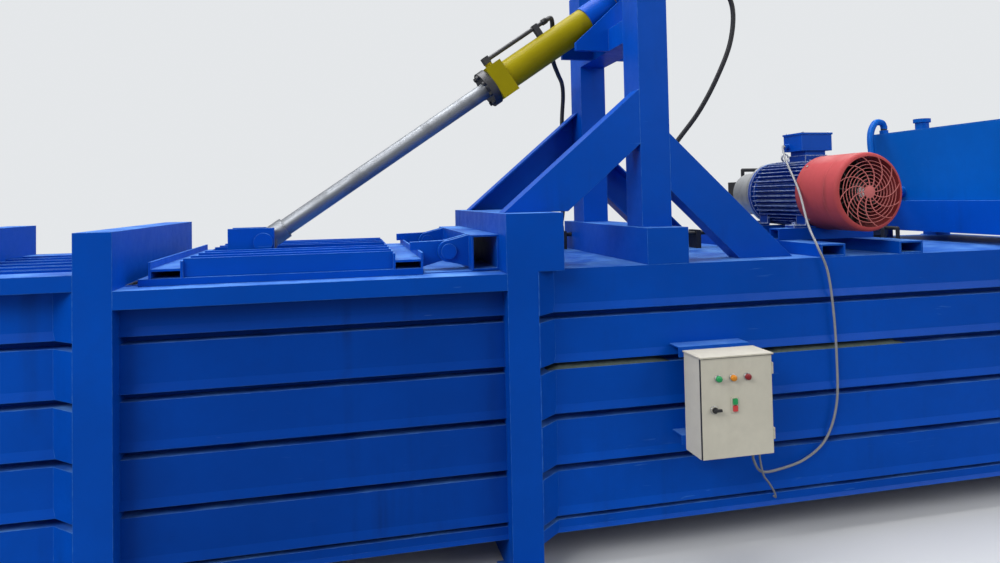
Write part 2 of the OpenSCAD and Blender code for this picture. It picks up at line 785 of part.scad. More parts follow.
module lid_beams() color(blue) {
    half = lid_w / 2;
    long_end = [lid_left + 36 + lid_cross_w, lid_right - lid_cross_w];
    for (x = [lid_left + 36, lid_right - lid_cross_w])
        translate([x, half, lid_top]) rotate([90, 0, 0]) flat_beam(lid_cross_w, lid_cross_h, 2 * half);
    for (y = [120, half - 12 - lid_long_w])
        both() translate([long_end[0] - over, y, lid_top]) rotate([90, 0, 90])
            flat_beam(lid_long_w, lid_long_h, long_end[1] - long_end[0] + 2 * over);
    // Lugs for the cylinder pin, with a plate across their outer end
    lug_low = lid_top;
    cheek = [[lug_x - 154, lug_low], [lug_x + 47, lug_low], [lug_x + 47, lug_z + 64],
        [lug_x - 154, lug_z + 64]];
    both() {
        plate_xz(cheek, [cheek_in, cheek_in + cheek_t]);
        bar_y(lug_x, lug_z, [cheek_in + cheek_t - over, cheek_in + cheek_t + 14], lug_pin_d / 2 + 12);
    }
    slab([lug_x - 154, lug_x - 140], [-cheek_in - over, cheek_in + over], [lug_low, lug_z + 30]);
    // Arms from the rear cross beam to the hinge pins
    for (c = hinge_places)
        difference() {
            union() {
                bar_y(hinge_x, hinge_z, [c - arm_t / 2, c + arm_t / 2], knuckle_r);
                plate_xz([[hinge_x, hinge_z + knuckle_r], [lid_right - 40, lid_top + lid_cross_h + 34],
                    [lid_right - 40, lid_top + lid_cross_h - over], [lid_right - over, lid_top + lid_cross_h - over],
                    [lid_right - over, lid_top], [lid_right, lid_top], [lid_right, lid_z],
                    [hinge_x - 20, hinge_z - knuckle_r + 5]],
                    [c - arm_t / 2, c + arm_t / 2]);
            }
            bar_y(hinge_x, hinge_z, [c - arm_t, c + arm_t], hinge_pin_d / 2 + running);
        }
}

// Lid cylinder, drawn along X from the pin on the lid and then tilted
module on_cylinder() translate([lug_x, 0, lug_z]) rotate([0, -cyl_slope, 0]) children();

module lid_rod() color(steel) on_cylinder() difference() {
    union() {
        bar_x(0, 0, [40, lid_piston_t], cyl_rod_d / 2);
        bar_y(0, 0, [-eye_w / 2, eye_w / 2], 58);
        bar_x(0, 0, [30, 110], 50);
    }
    bar_y(0, 0, [-eye_w, eye_w], lug_pin_d / 2 + running);
}

module lug_pin() color(steel)
    bar_y(lug_x, lug_z, [-cheek_in + gap, cheek_in - gap], lug_pin_d / 2);

module lid_piston() color(dark_steel) on_cylinder()
    bar_x(0, 0, [lid_piston_t, lid_piston_t + lid_piston_l], cyl_id / 2 - running);

module lid_gland() color(dark_steel) on_cylinder() {
    difference() {
        bar_x(0, 0, [rod_out, rod_out + gland_t], gland_d / 2);
        bar_x(0, 0, [rod_out - over, rod_out + gland_t + over], cyl_rod_d / 2 + running);
    }
    for (i = [0:7])
        rotate([22.5 + i * 45, 0, 0]) translate([rod_out, 0, gland_d / 2 - 18]) rotate([0, -90, 0]) bolt(14);
    // Pipe from the rod side port back along the barrel, with its clamp
    port = rod_out + gland_t + 50;
    slab([port - 18, port + 18], [-18, 18], [head_block / 2 + 16, pipe_h + 18]);
    bar_x(0, pipe_h, [port, pipe_end], 11);
    slab([pipe_end - 60, pipe_end - 30], [-16, 16], [cyl_od / 2, pipe_h + 15]);
}

module lid_barrel() color(yellow) on_cylinder() {
    head = rod_out + gland_t;
    half = head_block / 2;
    difference() {
        union() {
            slab([head, head + head_l], [-half, half], [-half, half]);
            bar_x(0, 0, [head + head_l - over, cyl_end], cyl_od / 2);
            bar_z(head + 50, 0, [half - over, half + 16], 20);
            bar_z(cyl_end - 18, 0, [0, cyl_od / 2 + 20], 16);
            slab([cyl_end - 36, cyl_end], [-18, 18], [cyl_od / 2 + 12, cyl_od / 2 + 42]);
            bar_x(0, cap_port_h, [cyl_end - 10, cap_port_end], 14);
        }
        bar_x(0, 0, [head + head_wall, cyl_end - 30], cyl_id / 2);
        bar_x(0, 0, [head - over, head + head_wall + over], cyl_rod_d / 2 + running);
    }
}

module trunnion_block() color(dark_blue) on_cylinder() difference() {
    union() {
        slab([cyl_length - 60, cyl_length + 60], [-trunnion_half, trunnion_half], [-96, 96]);
        bar_y(cyl_length, 0, [-trunnion_half - head_cheek_t - 8, trunnion_half + head_cheek_t + 8],
            trunnion_d / 2);
    }
    bar_x(0, 0, [cyl_length - 70, cyl_length + 70], cyl_od / 2 + running);
}

// Bale door: a plate with a frame of bars outside, arms to the hinge and the eye for the lock pin
module bale_door() color(blue) {
    x = [door_x - door_d, door_x];
    y = [-post_out + 28, post_out - 30];
    z = [door_low, door_high];
    plate = 14;
    bar = 60;
    eye_low = door_high - 70;
    difference() {
        union() {
            difference() {
                slab(x, y, z);
                for (i = [0:2])
                    for (j = [0:3]) {
                        w = (y[1] - y[0] - bar) / 3;
                        h = (z[1] - z[0] - bar) / 4;
                        slab([x[0] - over, x[1] - plate], [y[0] + bar + i * w, y[0] + (i + 1) * w],
                            [z[0] + bar + j * h, z[0] + (j + 1) * h]);
                    }
            }
            for (level = door_hinge_z) {
                slab([door_axis[0] - door_lug_r, door_axis[0] + door_lug_r],
                    [y[1] - 40, door_axis[1]], [level, level + door_lug_h]);
                bar_z(door_axis[0], door_axis[1], [level, level + door_lug_h], door_lug_r);
            }
            slab([door_axis[0] - door_lug_r, door_axis[0] + door_lug_r], [-door_axis[1], y[0] + 40],
                [eye_low, eye_low + 20]);
            bar_z(door_axis[0], -door_axis[1], [eye_low, eye_low + 20], door_lug_r);
        }
        for (level = door_hinge_z)
            bar_z(door_axis[0], door_axis[1], [level - over, level + door_lug_h + over],
                door_pin_d / 2 + running);
        bar_z(door_axis[0], -door_axis[1], [eye_low - over, eye_low + 20 + over], door_pin_d / 2 + 1.5);
    }
}

// Drop pin that locks the bale door, drawn up
module lock_pin() color(steel) {
    low = door_high - 45;
    top = door_high + 170;
    bar_z(door_axis[0], -door_axis[1], [low, top + lock_travel], door_pin_d / 2);
    bar_y(door_axis[0], top + lock_travel - 14, [-door_axis[1] - 120, -door_axis[1]], 9);
}

// Base of the motor: two hollow cross channels with two bars on them
module power_base() color(blue) {
    for (x = [-215, 215])
        tube_y([motor_x + x - 65, motor_x + x + 65], [-rib_out, rib_out], [wall_top, wall_top + 60], section_t);
    for (y = [-230, 100])
        tube_x([motor_x - 280, motor_x + 280], [y - 40, y + 40], [wall_top + 60, wall_top + 120], section_t);
}

module motor_housing() color(dark_blue) {
    core = 150;
    difference() {
        union() {
            bar_y(motor_x, motor_z, [stator_y, flange_y], core);
            bar_y(motor_x, motor_z, [flange_y, flange_y + 20], core + 25);
            for (i = [0:fin_n - 1]) {
                a = (i + 0.5) * 360 / fin_n;
                translate([motor_x, 0, motor_z]) rotate([0, a, 0])
                    slab([-2, 2], [stator_y + 22, flange_y - 22], [core - 6, cowl_d / 2 - 12]);
            }
            for (side = [-1, 1])
                for (y = [-230, 100]) {
                    foot = [motor_x + side * 150 - 40, motor_x + side * 150 + 40];
                    slab(foot, [y - 38, y + 38], [wall_top + 120, wall_top + 135]);
                    slab([motor_x + side * 114 - 8, motor_x + side * 114 + 8], [y - 38, y + 38],
                        [wall_top + 134, motor_z - 84]);
                }
            slab([motor_x - 66, motor_x + 66], [-208, -72], [motor_z + core - 16, motor_z + core + 50]);
        }
        bar_y(motor_x, motor_z, [stator_y + 20, flange_y - 20], 95);
        bar_y(motor_x, motor_z, [stator_y - over, flange_y + 20 + over], shaft_d / 2 + running);
    }
    for (side = [-1, 1])
        for (y = [-230, 100])
            translate([motor_x + side * 160, y, wall_top + 135]) bolt(16);
}

// Fan cowl: a drum on the end of the housing, its grille made of rings and curved spokes
module motor_cowl() color(cowl_red) {
    r = cowl_d / 2;
    difference() {
        union() {
            bar_y(motor_x, motor_z, [fan_end, stator_y], r);
        }
        bar_y(motor_x, motor_z, [fan_end + 3, stator_y - 6], r - 3);
        bar_y(motor_x, motor_z, [stator_y - 10, stator_y + over], 120);
        difference() {
            bar_y(motor_x, motor_z, [fan_end - over, fan_end + 3 + over], r - 30);
            for (ring = [40:30:150])
                difference() {
                    bar_y(motor_x, motor_z, [fan_end - 2, fan_end + 5], ring + 3);
                    bar_y(motor_x, motor_z, [fan_end - 3, fan_end + 6], ring - 3);
                }
            for (i = [0:11])
                translate([motor_x, fan_end, motor_z]) rotate([0, i * 30, 0])
                    slab([-3, 3], [-2, 5], [0, r - 20]);
            bar_y(motor_x, motor_z, [fan_end - 2, fan_end + 5], 24);
        }
    }
}

module terminal_box() color(dark_blue) {
    x = [motor_x - 90, motor_x + 90];
    y = [-215, -61];
    z = motor_z + 200;
    difference() {
        union() {
            slab([motor_x - 60, motor_x + 60], [-200, -76], [z, z + 24]);
            slab(x, y, [z + 23, z + 115]);
            bar_x(-100, z + 50, [x[0] - 20, x[0] + over], 15);
        }
        slab([x[0] + 5, x[1] - 5], [y[0] + 5, y[1] - 5], [z + 28, z + 106]);
    }
    slab([x[0] - 4, x[1] + 4], [y[0] - 4, y[1] + 4], [z + 108, z + 118]);
}

// Rotor with the shaft and the coupling half on its drive end
module motor_rotor() color(steel) {
    bar_y(motor_x, motor_z, [fan_end + 60, pump_y + 34], shaft_d / 2);
    bar_y(motor_x, motor_z, [stator_y + 60, flange_y - 60], 92);
    bar_y(motor_x, motor_z, [bell_y + 60, bell_y + 120], 62);
    bar_y(motor_x, motor_z, [bell_y + 119, bell_y + 150], 70);
}

module motor_fan() color(black) {
    difference() {
        union() {
            bar_y(motor_x, motor_z, [fan_end + 80, fan_end + 140], 44);
            bar_y(motor_x, motor_z, [fan_end + 134, fan_end + 140], 150);
            for (i = [0:8])
                translate([motor_x, 0, motor_z]) rotate([0, i * 40, 0])
                    slab([-3, 3], [fan_end + 80, fan_end + 136], [40, 150]);
        }
        bar_y(motor_x, motor_z, [fan_end + 70, fan_end + 150], shaft_d / 2 + running);
    }
}

module bell_housing() color(steel) {
    difference() {
        union() {
            bar_y(motor_x, motor_z, [bell_y, bell_y + 22], 175);
            bar_y(motor_x, motor_z, [bell_y + 20, bell_y + bell_l - 20], 125);
            bar_y(motor_x, motor_z, [bell_y + bell_l - 22, bell_y + bell_l], 110);
        }
        bar_y(motor_x, motor_z, [bell_y - over, bell_y + bell_l - 22], 105);
        bar_y(motor_x, motor_z, [bell_y + bell_l - 30, bell_y + bell_l + over], 60);
    }
    for (i = [0:7])
        translate([motor_x, bell_y + 22, motor_z]) rotate([0, 22.5 + i * 45, 0]) translate([0, 0, 152])
            rotate([-90, 0, 0]) bolt(14);
}

// Gear pump with its inlet on the tank side and its outlet on top
module pump() color(dark_steel) difference() {
    union() {
        slab([motor_x - 62, motor_x + 62], [pump_y, pump_y + pump_l], [motor_z - 75, motor_z + 75]);
        bar_y(motor_x, motor_z, [pump_y - 20, pump_y + over], 59.7);
        bar_x(pump_y + 70, motor_z, [motor_x + 60, motor_x + 86], 36);
        bar_z(motor_x, pump_y + 70, [motor_z + 74, motor_z + 96], 24);
    }
    bar_y(motor_x, motor_z, [pump_y - 21, pump_y + 40], shaft_d / 2 + running);
}

// Oil tank, open above under its cover
module oil_tank() color(tank_blue) {
    half = tank_w / 2;
    difference() {
        slab([tank_x, x_e], [-half, half], [tank_z, tank_z + tank_h - 6]);
        slab([tank_x + sheet, x_e - sheet], [-half + sheet, half - sheet], [tank_z + sheet, tank_z + tank_h]);
    }
    bar_x(300, tank_z + 55, [tank_x - 46, tank_x + over], 34);
    slab([tank_x + 250, tank_x + 286], [-half - 12, -half + over], [tank_z + 60, tank_z + 230]);
}

module tank_cover() color(tank_blue) {
    z = tank_z + tank_h - 6;
    slab([tank_x, x_e], [-tank_w / 2, tank_w / 2], [z, z + 6]);
    bar_z(tank_x + 60, 190, [z + 5, z + 50], 38);
    bar_z(tank_x + 60, 190, [z + 49, z + 72], 48);
    bar_z(tank_x + 43, 483, [z + 5, z + 30], 26);
}

module tank_stand() color(blue) {
    for (x = [[tank_x - 47, tank_x + 93], [tank_x + 413, tank_x + 543]]) {
        tube_y(x, [-rib_out + 5, rib_out - 5], [wall_top + pad_h, tank_z], section_t);
        both() slab([x[0] + 10, x[1] - 10], [rib_out - 110, rib_out], [wall_top, wall_top + pad_h]);
    }
}

// Valve block on its feet with three solenoid valves
module valve_set() color(dark_steel) {
    z = wall_top;
    slab([valve_x, valve_x + 250], [150, 330], [z + 40, z + 150]);
    for (x = [valve_x + 10, valve_x + 200])
        slab([x, x + 40], [150, 330], [z, z + 41]);
    for (x = [valve_x + 40, valve_x + 125, valve_x + 210]) {
        slab([x - 30, x + 30], [190, 290], [z + 149, z + 205]);
        for (y = [[112, 191], [289, 368]])
            bar_y(x, z + 178, y, 24);
        for (y = [[100, 113], [367, 380]])
            bar_y(x, z + 178, y, 12);
        for (y = [[128, 160], [320, 352]])
            slab([x - 14, x + 14], y, [z + 196, z + 228]);
    }
}

// Control box: shell with a rain lip, hinge tabs with pins and two glands below
hinge_places_z = [box_z + 60, box_z + 330];
gland_places = [box_x + 116, box_x + 146];
module box_shell() color(beige) {
    t = 3;
    difference() {
        union() {
            slab([box_left, box_right], [-box_front, -box_back], [box_z, box_top]);
            slab([box_left - 6, box_right + 6], [-box_front - 24, -box_back], [box_top - 1, box_top + 5]);
            for (z = hinge_places_z)
                for (low = [z, z + 34]) {
                    bar_z(box_hinge[0], box_hinge[1], [low, low + 12], 6);
                    slab([box_right, box_right + 12], [box_hinge[1], -box_front + 20], [low, low + 12]);
                    slab([box_right - 1, box_right + 12], [-box_front + 1, -box_front + 20], [low, low + 12]);
                }
            for (x = gland_places)
                bar_z(x, -box_back - 64, [box_z - 20, box_z + 1], 13);
        }
        slab([box_left + t, box_right - t], [-box_front - over, -box_back - t], [box_z + t, box_top - t]);
    }
    for (z = hinge_places_z)
        bar_z(box_hinge[0], box_hinge[1], [z + 1, z + 45], 2.5);
}

// Back plate with a breaker row, contactors and terminals
module box_gear() color(black) {
    y = -box_back - 11;
    slab([box_left + 30, box_right - 30], [y, y + 3], [box_z + 30, box_top - 30]);
    for (x = [box_left + 50, box_right - 50])
        for (z = [box_z + 50, box_top - 50])
            bar_y(x, z, [y + 2, -box_back - 3], 8);
    for (x = [0:2])
        slab([box_left + 50 + x * 80, box_left + 110 + x * 80], [y - 62, y + over], [box_z + 210, box_z + 290]);
    for (x = [0:5])
        slab([box_left + 50 + x * 20, box_left + 67 + x * 20], [y - 52, y + over], [box_z + 310, box_z + 376]);
    slab([box_left + 50, box_right - 60], [y - 40, y + over], [box_z + 90, box_z + 130]);
}

module box_door() color(beige) {
    t = 2.5;
    front = -box_front - door_sheet;
    y = [front, -box_front];
    difference() {
        union() {
            slab([box_left, box_right - 1], y, [box_z + 4, box_top - 4]);
            for (z = hinge_places_z) {
                bar_z(box_hinge[0], box_hinge[1], [z + 12.5, z + 33.5], 6);
                slab([box_right - 4, box_hinge[0]], [box_hinge[1] - 6, box_hinge[1] + 6], [z + 12.5, z + 33.5]);
            }
        }
        slab([box_left + t, box_right - 1 - t], [front + t, -box_front + over], [box_z + 4 + t, box_top - 4 - t]);
        for (z = hinge_places_z)
            bar_z(box_hinge[0], box_hinge[1], [z, z + 50], 2.5 + running);
        for (x = lamp_places)
            bar_y(box_x + x, lamp_z, [front - over, front + t + over], 11.3);
        bar_y(selector_at[0], selector_at[1], [front - over, front + t + over], 11.3);
        slab([button_at[0] - 11.3, button_at[0] + 11.3], [front - over, front + t + over],
            [button_at[1] - button_pitch / 2 - 14, button_at[1] + button_pitch / 2 + 14]);
    }
}

// Lamps, selector body and the frame of the two buttons, each through its hole in the door
module panel_fittings() color(dark_steel) {
    front = -box_front - door_sheet;
    t = 2.5;
    for (x = lamp_places) {
        bar_y(box_x + x, lamp_z, [front - 6, front], 15);
        bar_y(box_x + x, lamp_z, [front - 13, front - 5], 12);
        bar_y(box_x + x, lamp_z, [front - over, front + 40], 11);
        bar_y(box_x + x, lamp_z, [front + t, front + t + 5], 15);
    }
    difference() {
        union() {
            bar_y(selector_at[0], selector_at[1], [front - 7, front], 15);
            bar_y(selector_at[0], selector_at[1], [front - over, front + 40], 11);
            bar_y(selector_at[0], selector_at[1], [front + t, front + t + 5], 15);
        }
        bar_y(selector_at[0], selector_at[1], [front - 8, front + 25], 5 + running);
    }
    z = [button_at[1] - button_pitch / 2 - 13.7, button_at[1] + button_pitch / 2 + 13.7];
    difference() {
        union() {
            slab([button_at[0] - 15, button_at[0] + 15], [front - 5, front], [z[0] - 4, z[1] + 4]);
            slab([button_at[0] - 11, button_at[0] + 11], [front - over, front + 40], z);
            slab([button_at[0] - 15, button_at[0] + 15], [front + t, front + t + 5], z);
        }
        for (s = [-1, 1]) {
            c = button_at[1] + s * button_pitch / 2;
            slab([button_at[0] - 10, button_at[0] + 10], [front - 6, front + 14], [c - 12, c + 12]);
            bar_y(button_at[0], c, [front + 10, front + 30], 4 + running);
        }
    }
}

module selector_knob() color(black) {
    front = -box_front - door_sheet;
    bar_y(selector_at[0], selector_at[1], [front - 8, front + 24], 5);
    bar_y(selector_at[0], selector_at[1], [front - 13, front - 7], 12);
    slab([selector_at[0] - 10, selector_at[0] + 26], [front - 22, front - 12],
        [selector_at[1] - 5, selector_at[1] + 5]);
}

module button(s) {
    front = -box_front - door_sheet;
    c = button_at[1] + s * button_pitch / 2;
    slab([button_at[0] - 9.5, button_at[0] + 9.5], [front - 11, front + 9], [c - 11.5, c + 11.5]);
    bar_y(button_at[0], c, [front + 8, front + 24], 4);
}
module start_button() color([0.1, 0.5, 0.2]) button(1);
module stop_button() color([0.7, 0.1, 0.1]) button(-1);

// Rigid line through a list of corners
module line(points, d) {
    for (i = [0:len(points) - 2]) {
        a = points[i];
        v = points[i + 1] - a;
        translate(a) rotate([0, acos(v[2] / norm(v)), atan2(v[1], v[0])]) cylinder(h = norm(v), r = d / 2);
    }
    for (i = [1:1:len(points) - 2])
        translate(points[i]) sphere(d / 2);
}

// Hose with a ferrule on each end, its first and last stretch straight
module hose(points, n, d) {
    e = len(points) - 1;
    sweep(concat([points[0]], smooth([for (i = [1:e - 1]) points[i]], n), [points[e]]), d);
    for (end = [[0, 1], [e, e - 1]]) {
        v = points[end[1]] - points[end[0]];
        translate(points[end[0]]) rotate([0, acos(v[2] / norm(v)), atan2(v[1], v[0])])
            cylinder(h = norm(v), r = d / 2 + 4);
    }
}

block_top = line_z + 20;

// Routes of the hoses and cables, each point measured from the piece that it runs beside
function on_lid(t, h) = [lug_x + t * cos(cyl_slope) - h * sin(cyl_slope), 0,
    lug_z + t * sin(cyl_slope) + h * cos(cyl_slope)];
function from(place, points) = [for (p = points) place + p];

by_tank = [tank_x, 0, wall_top];
by_motor = [motor_x, 0, motor_z];
by_mast = [mast_x, 0, wall_top];
by_wall = [motor_x, -rib_out, wall_top];
by_box = [box_x, -rib_out, box_z];
suction_y = pump_y + 70;
return_route = concat(from(by_tank, [[43, 483, 700], [43, 483, 725], [23, 480, 750], [-37, 468, 745],
    [-97, 440, 670], [-127, 400, 540], [-142, 340, 370], [-157, 280, 200], [-192, 245, 110], [-222, 240, 85]]),
    [[valve_x + 250, 240, wall_top + 85]]);
suction_route = concat(from(by_tank, [[-46, 300, 294], [-77, 300, 294], [-147, 315, 292], [-317, 400, 288]]),
    [[(tank_x + motor_x) / 2 - 10.5, suction_y - 25, motor_z - 10], [motor_x + 296, suction_y - 1, motor_z - 3]],
    [for (x = [146, 111, 86]) [motor_x + x, suction_y, motor_z]]);
cap_route = concat([on_lid(cap_port_end + gap, cap_port_h), on_lid(cap_port_end + 30, cap_port_h)],
    from(by_mast, [[179, 0, 1541], [304, 0, 1565], [474, 0, 1540], [634, 10, 1465], [719, 20, 1340],
    [714, 40, 1150], [644, 75, 950], [544, 110, 760], [414, 150, 580], [304, 185, 390], [254, 198, 230]]),
    [[cap_line[0], 200, wall_top + 140], [cap_line[0], 200, block_top]]);
rod_route = concat([on_lid(pipe_end + gap, pipe_h), on_lid(pipe_end + 30, pipe_h)],
    from(by_mast, [[-328, 28, 1238], [-304, 80, 1210], [-301, 122, 1130], [-281, 155, 1040], [-221, 260, 985],
    [-156, 400, 960], [-118, 500, 900], [-116, 540, 750], [-119, 535, 500], [-128, 515, 250]]),
    [[rod_line[0] + 2, 475, wall_top + 150], [rod_line[0], 470, wall_top + 135], [rod_line[0], 470, block_top]]);
motor_gland = by_motor + [-110, -100, 250];
motor_route = concat(from(by_motor, [[-124, -100, 250], [-164, -180, 174], [-214, -350, 10], [-279, -500, -150]]),
    from(by_wall, [[-304, -8, 50], [-269, -24, -60], [-244, -22, -230], [-234, -22, -450], [-242, -22, -670],
    [-304, -22, -825], [-414, -22, -905]]),
    from(by_box, [[306, -50, -144], [176, -110, -119]]), [[gland_places[0], -box_back - 64, box_z - 49]]);
control_route = concat([[gland_places[1], -box_back - 64, box_z - 49]], from(by_box, [[176, -125, -129],
    [236, -70, -189], [286, -32, -249], [303, -16, -281], [303, 0, -281]]));
module line_block(x, y) slab([x - 25, x + 25], [y - 25, y + 25], [wall_top, block_top]);

// Lines on the deck, to the tank, to the pump and to the main cylinder
module hydraulic_hoses() color(black) {
    z = line_z;
    line_block(rod_line[0], rod_line[1]);
    line_block(cap_line[0], cap_line[1]);
    line([[rod_line[0] + 20, rod_line[1], z], [line_turn[0], rod_line[1], z], [line_turn[0], line_turn[1], z],
        [valve_x, line_turn[1], z]], line_d);
    line([[cap_line[0] + 20, cap_line[1], z], [valve_x, cap_line[1], z]], line_d);
    for (x = [valve_x - 980, valve_x - 150])
        slab([x - 12, x + 12], [cap_line[1] - 25, line_turn[1] + 25], [wall_top, z + 18]);
    for (i = [0, 1]) {
        x = deck_fittings[i];
        to = [gland_x + gland_l + 90, barrel_end - rear_cap - 60][i];
        line([[x, 150, z], [x, 0, z], [x, 0, under_z], [to, 0, under_z], [to, 0, axis_z + main_od / 2 + 24]], line_d);
        bar_z(x, 0, [wall_top - deck_t - 26, wall_top + 26], line_d / 2 + 5);
        for (low = [wall_top - deck_t - 20, wall_top])
            translate([x, 0, low]) cylinder(h = 20, r = 26, $fn = 6);
    }
    // Pressure line from the pump
    line([[motor_x, pump_y + 70, motor_z + 96], [motor_x, pump_y + 70, motor_z + 150],
        [valve_x - 70, pump_y + 70, motor_z + 150], [valve_x - 70, 300, motor_z + 150],
        [valve_x - 70, 300, z], [valve_x, 300, z]], line_d);
    hose(return_route, 1, 30);
    hose(suction_route, 1, 52);
}

// Hoses of the lid cylinder, in two long bows
module lid_hoses() color(black) {
    hose(cap_route, 2, 26);
    hose(rod_route, 2, 24);
}

// Cable from the motor down the wall into the control box, and the thin control cable
module cables() color([0.35, 0.35, 0.36]) {
    sweep(concat([motor_gland], smooth(motor_route, 1), [[gland_places[0], -box_back - 64, box_z - 20]]), 14);
    sweep(concat([[gland_places[1], -box_back - 64, box_z - 20]], control_route), 9);
}

base_frame();
floor_plate();
liners();
ribs_left();
ribs_middle();
ribs_right();
frame_door();
frame_chamber();
frame_feed();
frame_hinge();
frame_rear();
side_rails();
roof_channels();
deck_plates();
hinge_beam();
hinge_pins();
fixed_blade();
mast_posts();
mast_braces();
mast_head();
main_barrel();
main_gland();
ram_body();
ram_shoes();
ram_blade();
main_rod();
main_piston();
ram_pin();
lid_plate();
lid_beams();
lid_barrel();
trunnion_block();
lid_gland();
lid_rod();
lid_piston();
lug_pin();
bale_door();
lock_pin();
power_base();
motor_housing();
motor_cowl();
terminal_box();
motor_rotor();
motor_fan();
bell_housing();
pump();
oil_tank();
tank_cover();
tank_stand();
valve_set();
box_shell();
box_gear();
box_door();
panel_fittings();
selector_knob();
start_button();
stop_button();
hydraulic_hoses();
lid_hoses();
cables();
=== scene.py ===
"""Looks of the horizontal recycling baler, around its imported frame. Lengths are in metres."""
import json
import math
import random

import bmesh
import bpy
from mathutils import Matrix, Vector


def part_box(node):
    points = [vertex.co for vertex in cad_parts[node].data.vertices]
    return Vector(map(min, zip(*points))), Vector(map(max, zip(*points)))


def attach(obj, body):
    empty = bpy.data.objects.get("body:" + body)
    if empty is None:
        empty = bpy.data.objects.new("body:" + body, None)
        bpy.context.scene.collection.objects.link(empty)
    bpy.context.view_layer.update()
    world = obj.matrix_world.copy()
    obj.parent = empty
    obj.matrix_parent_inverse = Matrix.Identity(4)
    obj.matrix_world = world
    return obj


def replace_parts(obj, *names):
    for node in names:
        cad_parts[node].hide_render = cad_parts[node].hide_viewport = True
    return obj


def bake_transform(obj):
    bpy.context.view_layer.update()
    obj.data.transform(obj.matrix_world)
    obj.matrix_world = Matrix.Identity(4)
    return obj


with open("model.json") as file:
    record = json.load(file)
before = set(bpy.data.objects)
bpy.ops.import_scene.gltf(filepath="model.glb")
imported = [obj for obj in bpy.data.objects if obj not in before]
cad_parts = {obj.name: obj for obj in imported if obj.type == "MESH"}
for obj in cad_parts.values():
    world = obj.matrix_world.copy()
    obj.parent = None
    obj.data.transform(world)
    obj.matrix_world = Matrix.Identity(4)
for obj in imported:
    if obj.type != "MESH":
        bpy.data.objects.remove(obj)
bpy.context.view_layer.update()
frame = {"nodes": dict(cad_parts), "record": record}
random.seed(11)

# Camera, solved from the long edges of the photo. AXIS_ROW is the row that its axis meets
EYE = Vector((-0.780, -3.425, 1.553))
YAW = math.radians(12.56)
PITCH = math.radians(-1.59)
ROLL = math.radians(1.15)
FOCAL_PX = 694.3
PHOTO_W = 1000
PHOTO_H = 563
AXIS_ROW = 179.2


def add_camera():
    """Level camera turned by yaw and pitch, then rolled, with its picture shifted to the axis row."""
    forward = Vector((math.sin(YAW) * math.cos(PITCH), math.cos(YAW) * math.cos(PITCH), -math.sin(PITCH)))
    level = Vector((math.cos(YAW), -math.sin(YAW), 0))
    drop = forward.cross(level)
    right = math.cos(ROLL) * level + math.sin(ROLL) * drop
    down = -math.sin(ROLL) * level + math.cos(ROLL) * drop
    data = bpy.data.cameras.new("camera")
    data.sensor_width = 36
    data.lens = 36 * FOCAL_PX / PHOTO_W
    data.shift_y = (AXIS_ROW - PHOTO_H / 2) / PHOTO_W
    data.clip_start = 0.05
    data.clip_end = 200
    camera = bpy.data.objects.new("camera", data)
    camera.matrix_world = Matrix.Translation(EYE) @ Matrix((right, -down, -forward)).transposed().to_4x4()
    bpy.context.collection.objects.link(camera)
    bpy.context.scene.camera = camera


add_camera()


# Materials

paints = {}


def tint(colour, k):
    """The colour made lighter or darker, as a full colour value."""
    return tuple(min(1.0, c * k) for c in colour[:3]) + (1.0,)


def rgb(r, g, b):
    """A colour as the screen shows it, 0 to 255, in the renderer's own values."""
    def linear(c):
        c = c / 255
        return c / 12.92 if c <= 0.04045 else ((c + 0.055) / 1.055) ** 2.4
    return (linear(r), linear(g), linear(b), 1.0)


